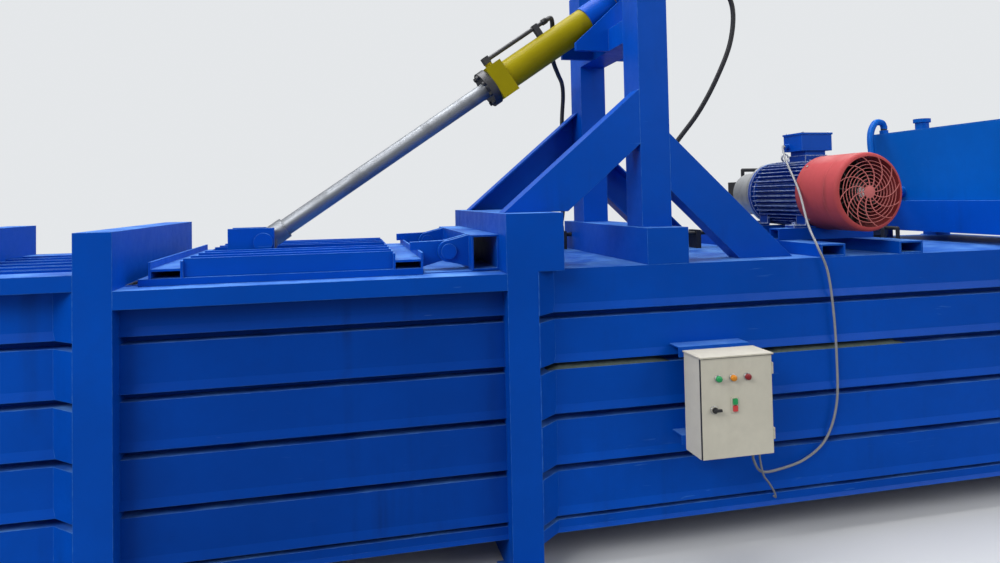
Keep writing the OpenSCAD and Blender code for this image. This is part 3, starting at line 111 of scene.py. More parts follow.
class Shader:
    """A material that is built up one node at a time."""

    def __init__(self, name):
        self.name = name
        self.material = bpy.data.materials.new(name)
        self.material.use_nodes = True
        self.tree = self.material.node_tree
        self.bsdf = self.tree.nodes["Principled BSDF"]
        self.coords = self.tree.nodes.new("ShaderNodeTexCoord").outputs["Object"]
        self.geometry = self.tree.nodes.new("ShaderNodeNewGeometry")

    def put(self, socket, value):
        """Links another node's output to the socket, or sets a plain value."""
        if isinstance(value, bpy.types.NodeSocket):
            self.tree.links.new(value, socket)
        else:
            socket.default_value = value

    def noise(self, scale, detail, stretch=(1, 1, 1), distortion=0.0, rough=0.55):
        """Cloudy pattern in the object's own coordinates."""
        mapping = self.tree.nodes.new("ShaderNodeMapping")
        self.tree.links.new(self.coords, mapping.inputs["Vector"])
        mapping.inputs["Scale"].default_value = stretch
        node = self.tree.nodes.new("ShaderNodeTexNoise")
        self.tree.links.new(mapping.outputs["Vector"], node.inputs["Vector"])
        node.inputs["Scale"].default_value = scale
        node.inputs["Detail"].default_value = detail
        node.inputs["Roughness"].default_value = rough
        node.inputs["Distortion"].default_value = distortion
        return node.outputs["Fac"]

    def span(self, value, low, high, to_low=0.0, to_high=1.0):
        """Value from low to high, spread over to_low to to_high and held at the ends."""
        node = self.tree.nodes.new("ShaderNodeMapRange")
        node.clamp = True
        self.put(node.inputs["Value"], value)
        node.inputs["From Min"].default_value = low
        node.inputs["From Max"].default_value = high
        node.inputs["To Min"].default_value = to_low
        node.inputs["To Max"].default_value = to_high
        return node.outputs["Result"]

    def calc(self, operation, a, b):
        """One step of arithmetic."""
        node = self.tree.nodes.new("ShaderNodeMath")
        node.operation = operation
        self.put(node.inputs[0], a)
        self.put(node.inputs[1], b)
        return node.outputs[0]

    def mix(self, factor, a, b):
        """Colour a at factor 0 and colour b at factor 1."""
        node = self.tree.nodes.new("ShaderNodeMix")
        node.data_type = "RGBA"
        self.put(node.inputs[0], factor)
        self.put(node.inputs[6], a)
        self.put(node.inputs[7], b)
        return node.outputs[2]

    def normal_z(self):
        """How far the face looks up, from -1 to 1."""
        node = self.tree.nodes.new("ShaderNodeSeparateXYZ")
        self.tree.links.new(self.geometry.outputs["Normal"], node.inputs[0])
        return node.outputs["Z"]

    def round_edges(self, radius):
        """Normal of softly rounded edges, and a mask that is 1 on them."""
        bevel = self.tree.nodes.new("ShaderNodeBevel")
        bevel.samples = 4
        bevel.inputs["Radius"].default_value = radius
        dot = self.tree.nodes.new("ShaderNodeVectorMath")
        dot.operation = "DOT_PRODUCT"
        self.tree.links.new(bevel.outputs["Normal"], dot.inputs[0])
        self.tree.links.new(self.geometry.outputs["Normal"], dot.inputs[1])
        return bevel.outputs["Normal"], self.span(dot.outputs["Value"], 0.98, 0.86)

    def bump(self, height, depth, normal):
        """Normal with relief of that depth on top of another normal."""
        node = self.tree.nodes.new("ShaderNodeBump")
        node.inputs["Strength"].default_value = 1.0
        node.inputs["Distance"].default_value = depth
        self.tree.links.new(height, node.inputs["Height"])
        self.tree.links.new(normal, node.inputs["Normal"])
        return node.outputs["Normal"]

    def finish(self, **sockets):
        """Sets the shader's sockets and keeps the material under its name in paints."""
        names = {"colour": "Base Color", "rough": "Roughness", "metal": "Metallic", "normal": "Normal",
                 "spec": "Specular IOR Level"}
        for key, value in sockets.items():
            self.put(self.bsdf.inputs[names[key]], value)
        paints[self.name] = self.material
        return self.material


def paint(name, colour, worn, dirt_colour, dirt=0.35, wear_and_highlight=0.5, rough=0.34, dust_and_sheen_amount=0.25, edge=0.003,
          dust_and_sheen_colour=rgb(150, 152, 156)):
    """Sprayed machine paint: cloudy coats, run-off streaks, rubbed rims that are partly a painted edge
    highlight, scratches, and a paler film on faces that look up, which is partly dust and partly a painted
    sheen of the sky.
    """
    s = Shader(name)
    cloud = s.span(s.noise(1.1, 4), 0.32, 0.68)
    mottle = s.span(s.noise(19, 5, rough=0.7), 0.3, 0.7)
    base = s.mix(cloud, tint(colour, 0.84), tint(colour, 1.12))
    base = s.mix(s.calc("MULTIPLY", mottle, 0.22), base, tint(colour, 0.72))
    streak = s.span(s.noise(11, 3, stretch=(1, 1, 0.06)), 0.53, 0.74)
    patch = s.span(s.noise(2.3, 5, distortion=0.6), 0.48, 0.72)
    grime = s.calc("MULTIPLY", s.calc("MULTIPLY", streak, patch), dirt)
    base = s.mix(grime, base, dirt_colour)
    # Rims take the worn colour. On the blue paints that colour is a pale sky blue, so there the rims are
    # partly rubbed paint and partly a painted highlight on the edges.
    normal, rim = s.round_edges(edge)
    rubbed_and_lit_rim = s.calc("MULTIPLY", rim, s.span(s.noise(30, 4), 0.42, 0.62, 0.25, 0.85))
    base = s.mix(s.calc("MULTIPLY", rubbed_and_lit_rim, wear_and_highlight), base, worn)
    scratch = s.calc("MULTIPLY", s.span(s.noise(55, 2, stretch=(0.12, 1, 1.6), distortion=0.4), 0.70, 0.73),
                     s.span(s.noise(1.7, 3), 0.52, 0.66))
    base = s.mix(s.calc("MULTIPLY", scratch, wear_and_highlight * 0.25), base, worn)
    # Faces that look up take a paler film colour: partly dust, and partly a painted sheen of the sky on top
    # faces.
    flat_top = s.span(s.normal_z(), 0.75, 0.98)
    dust_and_sheen = s.calc("MULTIPLY", flat_top, s.span(s.noise(6, 5), 0.38, 0.7, 0.2, 1.0))
    base = s.mix(s.calc("MULTIPLY", dust_and_sheen, dust_and_sheen_amount), base, dust_and_sheen_colour)
    gloss = s.calc("ADD", s.span(mottle, 0, 1, rough - 0.05, rough + 0.09),
                   s.calc("MULTIPLY", s.calc("MAXIMUM", grime, dust_and_sheen), 0.25))
    peel = s.noise(240, 2)
    wave = s.noise(5.5, 2)
    relief = s.calc("ADD", s.calc("MULTIPLY", peel, 0.12), wave)
    s.finish(colour=base, rough=gloss, normal=s.bump(relief, 0.0022, normal), spec=0.09)


STAIN = (0.05, 0.045, 0.04, 1)


def metal(name, colour, rough, grain=(1, 1, 1), stain=0.35):
    """Bare or plated metal with fine tool marks and darker stains."""
    s = Shader(name)
    marks = s.noise(160, 3, stretch=grain)
    spots = s.span(s.noise(9, 5, distortion=0.5), 0.5, 0.74)
    base = s.mix(s.calc("MULTIPLY", spots, stain), tint(colour, 1.0), STAIN)
    gloss = s.calc("ADD", s.span(marks, 0.3, 0.7, rough - 0.06, rough + 0.1), s.calc("MULTIPLY", spots, 0.2))
    normal = s.round_edges(0.002)[0]
    s.finish(colour=base, rough=gloss, metal=1.0, normal=s.bump(marks, 0.0004, normal))


def plastic(name, colour, rough, worn=0.25):
    """Moulded plastic, rubber or caked dirt, worn paler in fine spots."""
    s = Shader(name)
    fine = s.noise(60, 4)
    base = s.mix(s.span(fine, 0.35, 0.75, 0, worn), tint(colour, 1.0), tint(colour, 1.7))
    normal = s.round_edges(0.001)[0]
    s.finish(colour=base, rough=s.span(fine, 0.3, 0.7, rough - 0.06, rough + 0.12),
             normal=s.bump(s.noise(420, 2), 0.0002, normal))


WEATHERED_BLUE = rgb(14, 26, 54)
# The blue paints use pale sky blues for worn rims and for the top film. These are partly wear and dust, and
# partly painted edge highlights and a painted sky sheen.
paint("blue_paint", rgb(0, 74, 178), rgb(96, 160, 226), WEATHERED_BLUE, wear_and_highlight=0.9, dust_and_sheen_amount=0.72,
      dust_and_sheen_colour=rgb(104, 156, 218))
paint("motor_paint", rgb(10, 60, 150), rgb(196, 208, 224), WEATHERED_BLUE, wear_and_highlight=1.6, dust_and_sheen_amount=0.7,
      edge=0.009, dust_and_sheen_colour=rgb(150, 174, 206))
# A darker, dirtier copy of blue_paint for the middle ribs: painted shade under the top rail.
paint("painted_shade_blue", rgb(0, 64, 160), rgb(110, 156, 224), rgb(10, 20, 44), dirt=0.5, wear_and_highlight=0.7,
      dust_and_sheen_amount=0.72, dust_and_sheen_colour=rgb(90, 140, 206))
paint("tank_paint", rgb(0, 86, 176), rgb(120, 168, 220), rgb(20, 36, 60), dust_and_sheen_amount=0.6,
      dust_and_sheen_colour=rgb(112, 162, 212))
paint("yellow_paint", rgb(150, 137, 10), rgb(110, 104, 70), rgb(60, 54, 24), dirt=0.6, wear_and_highlight=0.8, dust_and_sheen_amount=0.7,
      dust_and_sheen_colour=rgb(176, 172, 140))
paint("red_paint", rgb(172, 72, 74), rgb(200, 132, 128), rgb(84, 48, 46), dirt=0.6, rough=0.5, dust_and_sheen_amount=0.8,
      dust_and_sheen_colour=rgb(190, 140, 138))
paint("grille_paint", rgb(196, 108, 106), rgb(214, 160, 156), rgb(110, 60, 58), rough=0.5)
paint("beige_paint", rgb(206, 201, 184), rgb(150, 146, 132), rgb(120, 112, 92), dirt=0.3, wear_and_highlight=0.35,
      rough=0.42, dust_and_sheen_amount=0.15)
metal("bright_steel", (0.56, 0.57, 0.58), 0.3)
metal("chrome_rod", (0.27, 0.285, 0.31), 0.46, grain=(6, 1, 1), stain=0.4)
metal("dark_steel", (0.09, 0.09, 0.095), 0.42, stain=0.5)
metal("cast_alloy", (0.46, 0.47, 0.48), 0.46)
plastic("black_plastic", (0.02, 0.02, 0.022), 0.4)
plastic("green_plastic", rgb(30, 150, 84), 0.3)
plastic("red_plastic", rgb(206, 60, 62), 0.3)
plastic("dark_red_plastic", rgb(130, 22, 30), 0.3)
plastic("amber_plastic", rgb(214, 132, 20), 0.3)
plastic("dirt", rgb(78, 90, 84), 0.9, worn=0.6)
plastic("black_rubber", (0.014, 0.014, 0.016), 0.55)
plastic("grey_cable", (0.24, 0.245, 0.25), 0.5)


def dress_frame():
    """Gives each node the paint of its slot, or the one that suits its place better; the middle ribs get a
    darker blue that paints the shade under the top rail.
    """
    looks = {entry["node"]: entry["material_slot"] for entry in frame["record"]["subparts"]}
    looks.update(motor_housing="motor_paint", ribs_middle="painted_shade_blue", hinge_pins="blue_paint",
                 panel_fittings="beige_paint")
    for name, node in frame["nodes"].items():
        node.data.materials.clear()
        node.data.materials.append(paints[looks[name]])


dress_frame()


# Mesh tools

def settle(name, bm, material, body, sharp=35):
    """Turns a bmesh into a shown piece, smooth but for its sharp edges, and attaches it to its body if one is
    given.
    """
    bmesh.ops.remove_doubles(bm, verts=bm.verts, dist=1e-6)
    bmesh.ops.recalc_face_normals(bm, faces=bm.faces)
    mesh = bpy.data.meshes.new(name)
    bm.to_mesh(mesh)
    bm.free()
    mesh.shade_smooth()
    mesh.set_sharp_from_angle(angle=math.radians(sharp))
    mesh.materials.append(paints[material])
    piece = bpy.data.objects.new(name, mesh)
    bpy.context.collection.objects.link(piece)
    if body:
        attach(piece, body)
    return piece


def turn_to(direction):
    """Rotation that takes +Z to a direction."""
    return Vector(direction).to_track_quat("Z", "Y").to_matrix().to_4x4()


def lathe(bm, profile, place, direction, steps):
    """Adds a turned shape from a closed loop of (radius, distance along the axis) pairs."""
    to_place = Matrix.Translation(place) @ turn_to(direction)
    angles = [2 * math.pi * i / steps for i in range(steps)]
    rings = []
    for r, t in profile:
        around = angles[:1] if r < 1e-6 else angles
        rings.append([bm.verts.new(to_place @ Vector((r * math.cos(a), r * math.sin(a), t))) for a in around])
    for a, b in zip(rings, rings[1:] + rings[:1]):
        for i in range(steps):
            j = (i + 1) % steps
            corners = dict.fromkeys((a[i % len(a)], a[j % len(a)], b[j % len(b)], b[i % len(b)]))
            if len(corners) > 2:
                bm.faces.new(list(corners))


def washer_ring(inner, outer, depth):
    """Profile of a flat ring for lathe."""
    return [(inner, 0), (outer, 0), (outer, depth), (inner, depth)]


def join_rows(bm, rows, caps=True):
    """Skins equal rows of vertices, each row a closed loop, and closes both ends if asked."""
    size = len(rows[0])
    for a, b in zip(rows, rows[1:]):
        for k in range(size):
            m = (k + 1) % size
            bm.faces.new((a[k], a[m], b[m], b[k]))
    if caps:
        bm.faces.new(list(reversed(rows[0])))
        bm.faces.new(rows[-1])


def block(bm, low, high, chamfer):
    """Adds a box with chamfered edges."""
    low, high = Vector(low), Vector(high)
    made = bmesh.ops.create_cube(bm, size=1.0)["verts"]
    for v in made:
        v.co = Vector((low[k] + (v.co[k] + 0.5) * (high[k] - low[k]) for k in range(3)))
    edges = list({e for v in made for e in v.link_edges})
    bmesh.ops.bevel(bm, geom=edges, offset=chamfer, segments=1, affect="EDGES", profile=0.5)


def hexagon(bm, place, direction, across, height, washer=0.0):
    """Adds a hexagon head with a chamfered top, on a washer of that radius if one is given."""
    base = 0.12 * across if washer else 0.0
    if washer:
        lathe(bm, washer_ring(0, washer, base), place, direction, 24)
    r = across / math.sqrt(3)
    top = base + height
    profile = [(0, base), (r, base), (r, base + 0.86 * height), (0.86 * r, top), (0, top)]
    lathe(bm, profile, place, direction, 6)


def tube(bm, points, radius, sides, ripple=0.0, caps=True):
    """Adds a round tube along points; ripple swells every second ring, as on a weld."""
    points = [Vector(p) for p in points]
    normal = None
    rings = []
    for i, p in enumerate(points):
        ahead = (points[min(i + 1, len(points) - 1)] - points[max(i - 1, 0)]).normalized()
        if normal is None:
            normal = ahead.orthogonal().normalized()
        normal = (normal - ahead * normal.dot(ahead)).normalized()
        side = ahead.cross(normal)
        r = radius * (1 + (ripple if i % 2 else -ripple))
        rings.append([bm.verts.new(p + r * (math.cos(a) * normal + math.sin(a) * side))
                      for a in (2 * math.pi * k / sides for k in range(sides))])
    join_rows(bm, rings, caps)


def smooth_route(points):
    """Points in metres of a smooth curve through points in millimetres."""
    steps = 8
    v = [Vector(p) / 1000 for p in points]
    out = []
    for i in range(len(v) - 1):
        a, b, c, d = v[max(i - 1, 0)], v[i], v[i + 1], v[min(i + 2, len(v) - 1)]
        for k in range(steps):
            t = k / steps
            out.append(0.5 * (2 * b + (c - a) * t + (2 * a - 5 * b + 4 * c - d) * t * t
                              + (3 * b - a - 3 * c + d) * t ** 3))
    out.append(v[-1])
    return out


def weld(bm, start, end):
    """Adds a weld bead between two points."""
    radius = 0.003
    ripple_pitch = 0.005
    start, end = Vector(start), Vector(end)
    count = int((end - start).length / ripple_pitch)
    wander = radius * 0.12
    line = [start.lerp(end, i / count) + Vector([random.uniform(-1, 1) for axis in range(3)]) * wander
            for i in range(count + 1)]
    tube(bm, line, radius, 6, ripple=0.14)


# Motor: cowl with its grille, lifting eye and small parts

cowl_low, cowl_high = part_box("motor_cowl")
MOTOR_X = (cowl_low.x + cowl_high.x) / 2
MOTOR_Z = (cowl_low.z + cowl_high.z) / 2
COWL_R = (cowl_high.x - cowl_low.x) / 2
COWL_FRONT = cowl_low.y
COWL_BACK = cowl_high.y


def on_motor(bm, profile, y, steps):
    """Adds a shape turned about the motor's axis, from y towards the cowl's face."""
    lathe(bm, profile, (MOTOR_X, y, MOTOR_Z), (0, -1, 0), steps)


def spiral_spoke(bm, turn, reach):
    """Adds one blade of the grille, in the cowl's face, that curves more and more on its way out."""
    start = 0.028
    sweep = 0.75
    half_width = 0.0021
    depth = Vector((0, 0.004, 0))
    steps = 12
    hub = Vector((MOTOR_X, COWL_FRONT + 0.0002, MOTOR_Z))
    rows = []
    for i in range(steps + 1):
        u = i / steps
        a = turn + sweep * u ** 1.4
        mid = hub + Vector((math.cos(a), 0, math.sin(a))) * (start + (reach - start) * u)
        across = Vector((-math.sin(a), 0, math.cos(a))) * half_width
        rows.append([bm.verts.new(v) for v in (mid + across, mid - across, mid - across + depth,
                                               mid + across + depth)])
    join_rows(bm, rows)


def make_cowl():
    """Cowl shell with two bands, and the grille of rings, spokes and hub in its face."""
    length = COWL_BACK - COWL_FRONT
    wall = 0.003
    bend = 0.021
    face_r = COWL_R - bend
    arc = [(face_r + bend * math.sin(a), length - bend + bend * math.cos(a))
           for a in (math.pi / 2 * (1 - k / 8) for k in range(9))]
    inner = [(r - wall if r > face_r else r, t - wall) for r, t in reversed(arc)]
    bm = bmesh.new()
    on_motor(bm, [(COWL_R, 0.0)] + arc + inner[:-1] + [(COWL_R - wall, 0.0)], COWL_BACK, 96)
    for from_back in (0.03, 0.21):
        on_motor(bm, washer_ring(COWL_R - 0.0005, COWL_R + 0.0006, 0.006), COWL_BACK - from_back, 96)
    piece = settle("cowl_shell", bm, "red_paint", "machine")
    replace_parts(piece, "motor_cowl")

    first_ring = 0.045
    ring_pitch = 0.017
    half_wire = 0.0013
    spokes = 12
    grille = bmesh.new()
    for k in range(7):
        r = first_ring + ring_pitch * k
        on_motor(grille, washer_ring(r - half_wire, r + half_wire, 0.003), COWL_FRONT + 0.0045, 72)
    for k in range(spokes):
        spiral_spoke(grille, 2 * math.pi * k / spokes, face_r + 0.002)
    hub = [(0, 0), (0.031, 0), (0.031, 0.003), (0.024, 0.0055), (0, 0.006)]
    on_motor(grille, hub, COWL_FRONT + 0.006, 48)
    settle("cowl_grille", grille, "grille_paint", "machine")


def make_motor_trim():
    """Lifting eye, and the screws of the cowl and of the terminal box."""
    top = MOTOR_Z + 0.178
    eye_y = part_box("motor_housing")[0].y + 0.345
    boss_h = 0.012
    eye_r = 0.021
    bm = bmesh.new()
    lathe(bm, washer_ring(0, 0.018, boss_h), (MOTOR_X, eye_y, top - boss_h), (0, 0, 1), 24)
    eye = [(MOTOR_X + eye_r * math.cos(a), eye_y, top + 0.022 + eye_r * math.sin(a))
           for a in (2 * math.pi * k / 28 for k in range(29))]
    tube(bm, eye, 0.0055, 10, caps=False)
    settle("lifting_eye", bm, "bright_steel", "machine")

    head_h = 0.005
    washer_r = 0.009
    bm = bmesh.new()
    for k in range(4):
        a = math.pi / 4 + k * math.pi / 2
        out = Vector((math.cos(a), 0, math.sin(a)))
        place = Vector((MOTOR_X, COWL_BACK - 0.03, MOTOR_Z)) + out * (COWL_R - 0.0018)
        hexagon(bm, place, out, 0.010, head_h, washer_r)
    settle("cowl_screws", bm, "bright_steel", "machine")

    inset = 0.014
    gland_out = 0.020
    low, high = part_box("terminal_box")
    bm = bmesh.new()
    for x in (low.x + gland_out + inset, high.x - inset):
        for y in (low.y + inset, high.y - inset):
            hexagon(bm, (x, y, high.z - 0.001), (0, 0, 1), 0.011, head_h, washer_r)
    settle("terminal_screws", bm, "bright_steel", "machine")


make_cowl()
make_motor_trim()


# Control box: lamp lenses, rings and the seam of its door

# Each lamp: its X, name, look and slot. Rings are (radius, distance from the door)
LAMP_Z = 0.798
LAMPS = ((0.6975, "lens_green", "green_plastic", "green_plastic"),
         (0.7635, "lens_amber", "amber_plastic", "yellow_paint"),
         (0.8295, "lens_red", "dark_red_plastic", "red_plastic"))
LAMP_RING = [(0.0130, 0), (0.0158, 0), (0.0158, 0.0052), (0.0148, 0.0066), (0.0130, 0.0066)]
SELECTOR_PLACE = (0.676, 0.673)
SELECTOR_RING = [(0.0146, 0), (0.0172, 0), (0.0172, 0.004), (0.0160, 0.0058), (0.0146, 0.0058)]


def make_lamps():
    """Domed lenses, bright rings, and a black strip along two edges of the door that stands in for its gasket
    and paints the shadow in its seam.
    """
    low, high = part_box("box_door")
    toward = (0, -1, 0)
    lens_r = 0.0128
    lens_y = -0.8262
    dome = [(lens_r * math.cos(a), 0.008 + 0.0062 * math.sin(a))
            for a in (math.pi / 2 * k / 6 for k in range(7))]
    for x, name, material, slot in LAMPS:
        bm = bmesh.new()
        lathe(bm, [(lens_r, 0.0)] + dome + [(0, 0.0)], (x, lens_y, LAMP_Z), toward, 40)
        settle(name, bm, material, "panel_door")

    ring_y = low.y - 0.0002
    bm = bmesh.new()
    for lamp in LAMPS:
        lathe(bm, LAMP_RING, (lamp[0], ring_y, LAMP_Z), toward, 40)
    lathe(bm, SELECTOR_RING, (SELECTOR_PLACE[0], ring_y, SELECTOR_PLACE[1]), toward, 40)
    settle("lamp_rings", bm, "bright_steel", "panel_door")

    # Black rubber strip in the door's seam: a gasket, and a painted shadow of the seam.
    seam = 0.0016
    front = low.y + 0.002
    back = low.y + 0.012
    chamfer = 0.0003
    bm = bmesh.new()
    inside = seam * 0.5
    block(bm, (low.x - seam, front, low.z), (low.x + inside, back, high.z), chamfer)
    block(bm, (low.x, front, high.z - inside), (high.x, back, high.z + seam), chamfer)
    settle("door_seam_shadow_strip", bm, "black_rubber", "panel_door")


# Lid cylinder: sleeve over the barrel's rear, gland bolts. Its axis runs from LUG along ALONG

LUG = Vector((-1.150, 0, 1.375))
SLOPE = math.radians(34.2)
ALONG = Vector((math.cos(SLOPE), 0, math.sin(SLOPE)))
UP = Vector((-math.sin(SLOPE), 0, math.cos(SLOPE)))


def make_cylinder_trim():
    """Blue sleeve over the rear of the barrel, and the bolt heads on the gland's face."""
    start = LUG + ALONG * 1.939
    length = 0.172
    bore = 0.0752
    outside = 0.0800
    chamfer = 0.0012
    bm = bmesh.new()
    sleeve = [(bore, 0), (outside - chamfer, 0), (outside, chamfer), (outside, length), (bore, length)]
    lathe(bm, sleeve, start, ALONG, 72)
    settle("barrel_sleeve", bm, "blue_paint", "lid_cylinder")

    bolts = 8
    bolt_circle_r = 0.076
    face = LUG + ALONG * 1.2892
    bm = bmesh.new()
    for k in range(bolts):
        a = 2 * math.pi * (k + 0.5) / bolts
        place = face + UP * (bolt_circle_r * math.cos(a)) + Vector((0, bolt_circle_r * math.sin(a), 0))
        hexagon(bm, place, -ALONG, 0.019, 0.011, 0.013)
    settle("gland_bolts", bm, "dark_steel", "lid_cylinder")


# Welds where the folded ribs meet the frame posts, and the dirt that lies in one gap between ribs

FIRST_RIB_Z = 0.220
RIB_H = 0.182
RIB_PITCH = 0.212


def make_welds():
    """Upright beads at both ends of the near ribs in the right bay."""
    low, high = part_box("ribs_right")
    y = low.y + 0.004
    clear = 0.004
    bm = bmesh.new()
    for x in (low.x + 0.001, high.x - 0.001):
        for k in range(5):
            z = FIRST_RIB_Z + RIB_PITCH * k
            weld(bm, (x, y, z + clear), (x, y, z + RIB_H - clear))
    settle("rib_welds", bm, "blue_paint", "machine")


def make_dirt():
    """Dirt on top of the third rib, heaped up towards the wall behind it."""
    shelf_z = FIRST_RIB_Z + 2 * RIB_PITCH + RIB_H
    front_y = -0.588
    wall_y = -0.5215
    slope = ((-0.584, 0.006), (-0.570, 0.013), (-0.548, 0.017), (wall_y, 0.018))
    pitch = 0.012
    taper = 5
    uneven = 0.0025
    bm = bmesh.new()
    for start, end in ((0.04, 0.60), (1.08, 1.82)):
        rows = []
        count = int((end - start) / pitch)
        for i in range(count + 1):
            x = start + (end - start) * i / count
            full = min(1.0, i / taper, (count - i) / taper)
            line = [(front_y, shelf_z)]
            for y, h in slope:
                line.append((y, shelf_z + 0.0005 + full * (h + random.uniform(-uneven, uneven))))
            line.append((wall_y, shelf_z))
            rows.append([bm.verts.new((x, y, z)) for y, z in line])
        join_rows(bm, rows)
    settle("gap_dirt", bm, "dirt", "machine", sharp=80)


# Hoses and cables, smooth along the routes of the part's source, in millimetres

def on_cylinder(t, h):
    """Point in millimetres, t along the cylinder from the lid's lugs and h above its axis."""
    return [c * 1000 for c in LUG + ALONG * t / 1000 + UP * h / 1000]


CAP_HOSE = [
    on_cylinder(2308.8, 101), on_cylinder(2338.3, 101), (785, 0, 2791), (910, 0, 2815), (1080, 0, 2790),
    (1240, 10, 2715), (1325, 20, 2590), (1320, 40, 2400), (1250, 75, 2200), (1150, 110, 2010),
    (1020, 150, 1830), (910, 185, 1640), (860, 198, 1480), (850, 200, 1390), (850, 200, 1355)]
ROD_HOSE = [
    on_cylinder(1740.5, 122), on_cylinder(1770, 122), (278, 28, 2488), (302, 80, 2460),
    (305, 122, 2380), (325, 155, 2290), (385, 260, 2235), (450, 400, 2210), (488, 500, 2150),
    (490, 540, 2000), (487, 535, 1750), (478, 515, 1500), (452, 475, 1400), (450, 470, 1385),
    (450, 470, 1355)]
RETURN_PIPE = [
    (2690, 483, 1958), (2690, 483, 1975), (2670, 480, 2000), (2610, 468, 1995), (2550, 440, 1920),
    (2520, 400, 1790), (2505, 340, 1620), (2490, 280, 1450), (2455, 245, 1360), (2427, 240, 1335)]
MOTOR_CABLE = [
    (1544, -100, 1800), (1530, -100, 1800), (1490, -180, 1724), (1440, -350, 1560), (1375, -500, 1400),
    (1350, -598, 1300), (1385, -614, 1190), (1410, -612, 1020), (1420, -612, 800), (1412, -612, 580),
    (1350, -612, 425), (1240, -612, 345), (1090, -640, 325), (960, -700, 350), (900, -738, 420),
    (900, -738, 449)]
CONTROL_CABLE = [
    (930, -738, 449), (930, -738, 420), (960, -715, 340), (1020, -660, 280), (1070, -622, 220),
    (1087, -606, 188), (1087, -590, 188)]


def hose(bm, route, radius):
    """Adds a hose with a crimped ferrule and a nut at each end."""
    ends = [Vector(route[0]) / 1000, Vector(route[-1]) / 1000]
    tube(bm, [ends[0]] + smooth_route(route[1:-1]) + [ends[1]], radius, 20)
    grip = radius + 0.004
    groove = grip - 0.0012
    for end, ahead in ((ends[0], Vector(route[1]) / 1000), (ends[1], Vector(route[-2]) / 1000)):
        reach = (ahead - end).length
        ferrule = [(radius, 0)]
        for k in range(4):
            t = 0.30 + 0.16 * k
            ferrule += [(grip, t * reach), (grip, (t + 0.10) * reach)]
            ferrule += [(groove, (t + 0.11) * reach), (groove, (t + 0.15) * reach)]
        ferrule.append((radius, 0.96 * reach))
        lathe(bm, ferrule, end, ahead - end, 32)
        hexagon(bm, end, ahead - end, 2 * grip * 0.94, 0.28 * reach)


def make_lines():
    """Lid hoses, which are given no body, cables, and the pipe around the return hose."""
    for name, route, radius, low_end, high_end in (
            ("cap_hose", CAP_HOSE, 0.013, (0.86, 0.19, 1.5), (0.78, 0, 2.68)),
            ("rod_hose", ROD_HOSE, 0.012, (0.47, 0.5, 1.5), (0.25, 0, 2.44))):
        bm = bmesh.new()
        hose(bm, route, radius)
        piece = settle(name, bm, "black_rubber", None)
        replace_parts(piece, "lid_hoses")
        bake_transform(piece)
    bm = bmesh.new()
    tube(bm, smooth_route(MOTOR_CABLE), 0.0055, 12)
    tube(bm, smooth_route(CONTROL_CABLE), 0.0042, 12)
    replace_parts(settle("cable_pair", bm, "grey_cable", "machine"), "cables")
    bm = bmesh.new()
    tube(bm, smooth_route(RETURN_PIPE), 0.0205, 28)
    settle("return_pipe", bm, "tank_paint", "machine")


make_lines()
make_lamps()
make_cylinder_trim()
make_welds()
make_dirt()


# Floor and light

PALE = (0.78, 0.80, 0.82, 1)


def seen_only(tree, lit, seen, output):
    """Shows one shader to the camera and the other to every other ray."""
    path = tree.nodes.new("ShaderNodeLightPath")
    mixer = tree.nodes.new("ShaderNodeMixShader")
    tree.links.new(path.outputs["Is Camera Ray"], mixer.inputs[0])
    tree.links.new(lit, mixer.inputs[1])
    tree.links.new(seen, mixer.inputs[2])
    tree.links.new(mixer.outputs[0], output)


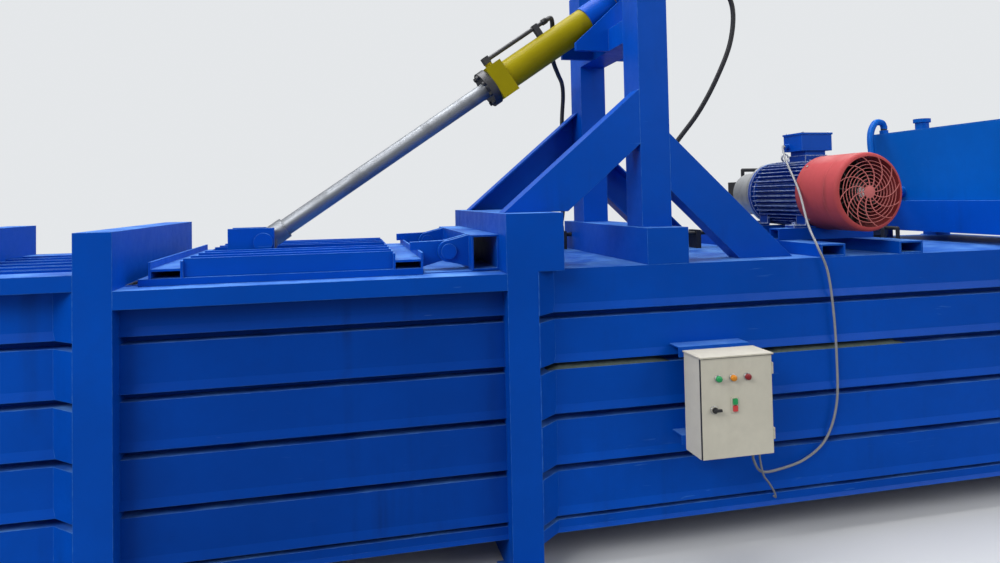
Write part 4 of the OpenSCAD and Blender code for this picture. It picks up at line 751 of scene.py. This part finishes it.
def add_floor():
    """Pale floor that keeps the shadow and fades into the backdrop further out."""
    mesh = bpy.data.meshes.new("floor")
    radius = 60
    corners = 64
    rim = [Vector((radius * math.cos(a), radius * math.sin(a), -0.0005))
           for a in (2 * math.pi * i / corners for i in range(corners))]
    mesh.from_pydata(rim, [], [list(range(corners))])
    floor = bpy.data.objects.new("floor", mesh)
    bpy.context.collection.objects.link(floor)
    s = Shader("floor")
    grey = s.mix(s.noise(0.6, 4), (0.60, 0.61, 0.62, 1), (0.66, 0.67, 0.68, 1))
    mesh.materials.append(s.finish(colour=grey, rough=0.9, spec=0.1))
    tree = s.tree
    far = tree.nodes.new("ShaderNodeEmission")
    far.inputs["Color"].default_value = PALE
    reach = tree.nodes.new("ShaderNodeVectorMath")
    reach.operation = "LENGTH"
    tree.links.new(s.coords, reach.inputs[0])
    fade = tree.nodes.new("ShaderNodeMixShader")
    fade_from = 5.0
    gone_at = 11.0
    tree.links.new(s.span(reach.outputs["Value"], fade_from, gone_at), fade.inputs[0])
    tree.links.new(s.bsdf.outputs[0], fade.inputs[1])
    tree.links.new(far.outputs[0], fade.inputs[2])
    dim = tree.nodes.new("ShaderNodeBsdfDiffuse")
    dim.inputs["Color"].default_value = (0.24, 0.25, 0.27, 1)
    seen_only(tree, dim.outputs[0], fade.outputs[0], tree.nodes["Material Output"].inputs[0])


def add_light(name, place, target, size, watts):
    """Soft rectangular light at a place, aimed at a target."""
    data = bpy.data.lights.new(name, "AREA")
    data.shape = "RECTANGLE"
    data.size = size[0]
    data.size_y = size[1]
    data.energy = watts
    light = bpy.data.objects.new(name, data)
    light.location = place
    light.rotation_euler = (Vector(target) - Vector(place)).to_track_quat("-Z", "Y").to_euler()
    bpy.context.collection.objects.link(light)


def add_world():
    """Bluish light from all around, with a pale backdrop for the camera."""
    world = bpy.data.worlds.new("world")
    bpy.context.scene.world = world
    world.use_nodes = True
    tree = world.node_tree
    back = tree.nodes["Background"]
    back.inputs["Color"].default_value = (0.86, 0.89, 0.93, 1)
    back.inputs["Strength"].default_value = 0.42
    seen = tree.nodes.new("ShaderNodeBackground")
    seen.inputs["Color"].default_value = PALE
    seen_only(tree, back.outputs[0], seen.outputs[0], tree.nodes["World Output"].inputs[0])


add_floor()
add_world()
add_light("key", (-7.0, -5.0, 6.5), (0, 0, 1.0), (6, 4), 560)
add_light("fill", (6.5, -6.0, 4.5), (0.5, 0, 1.0), (5, 4), 200)
add_light("top", (0.0, 1.0, 8.0), (0, 0, 1.0), (9, 5), 800)
bpy.context.scene.view_settings.view_transform = "Standard"
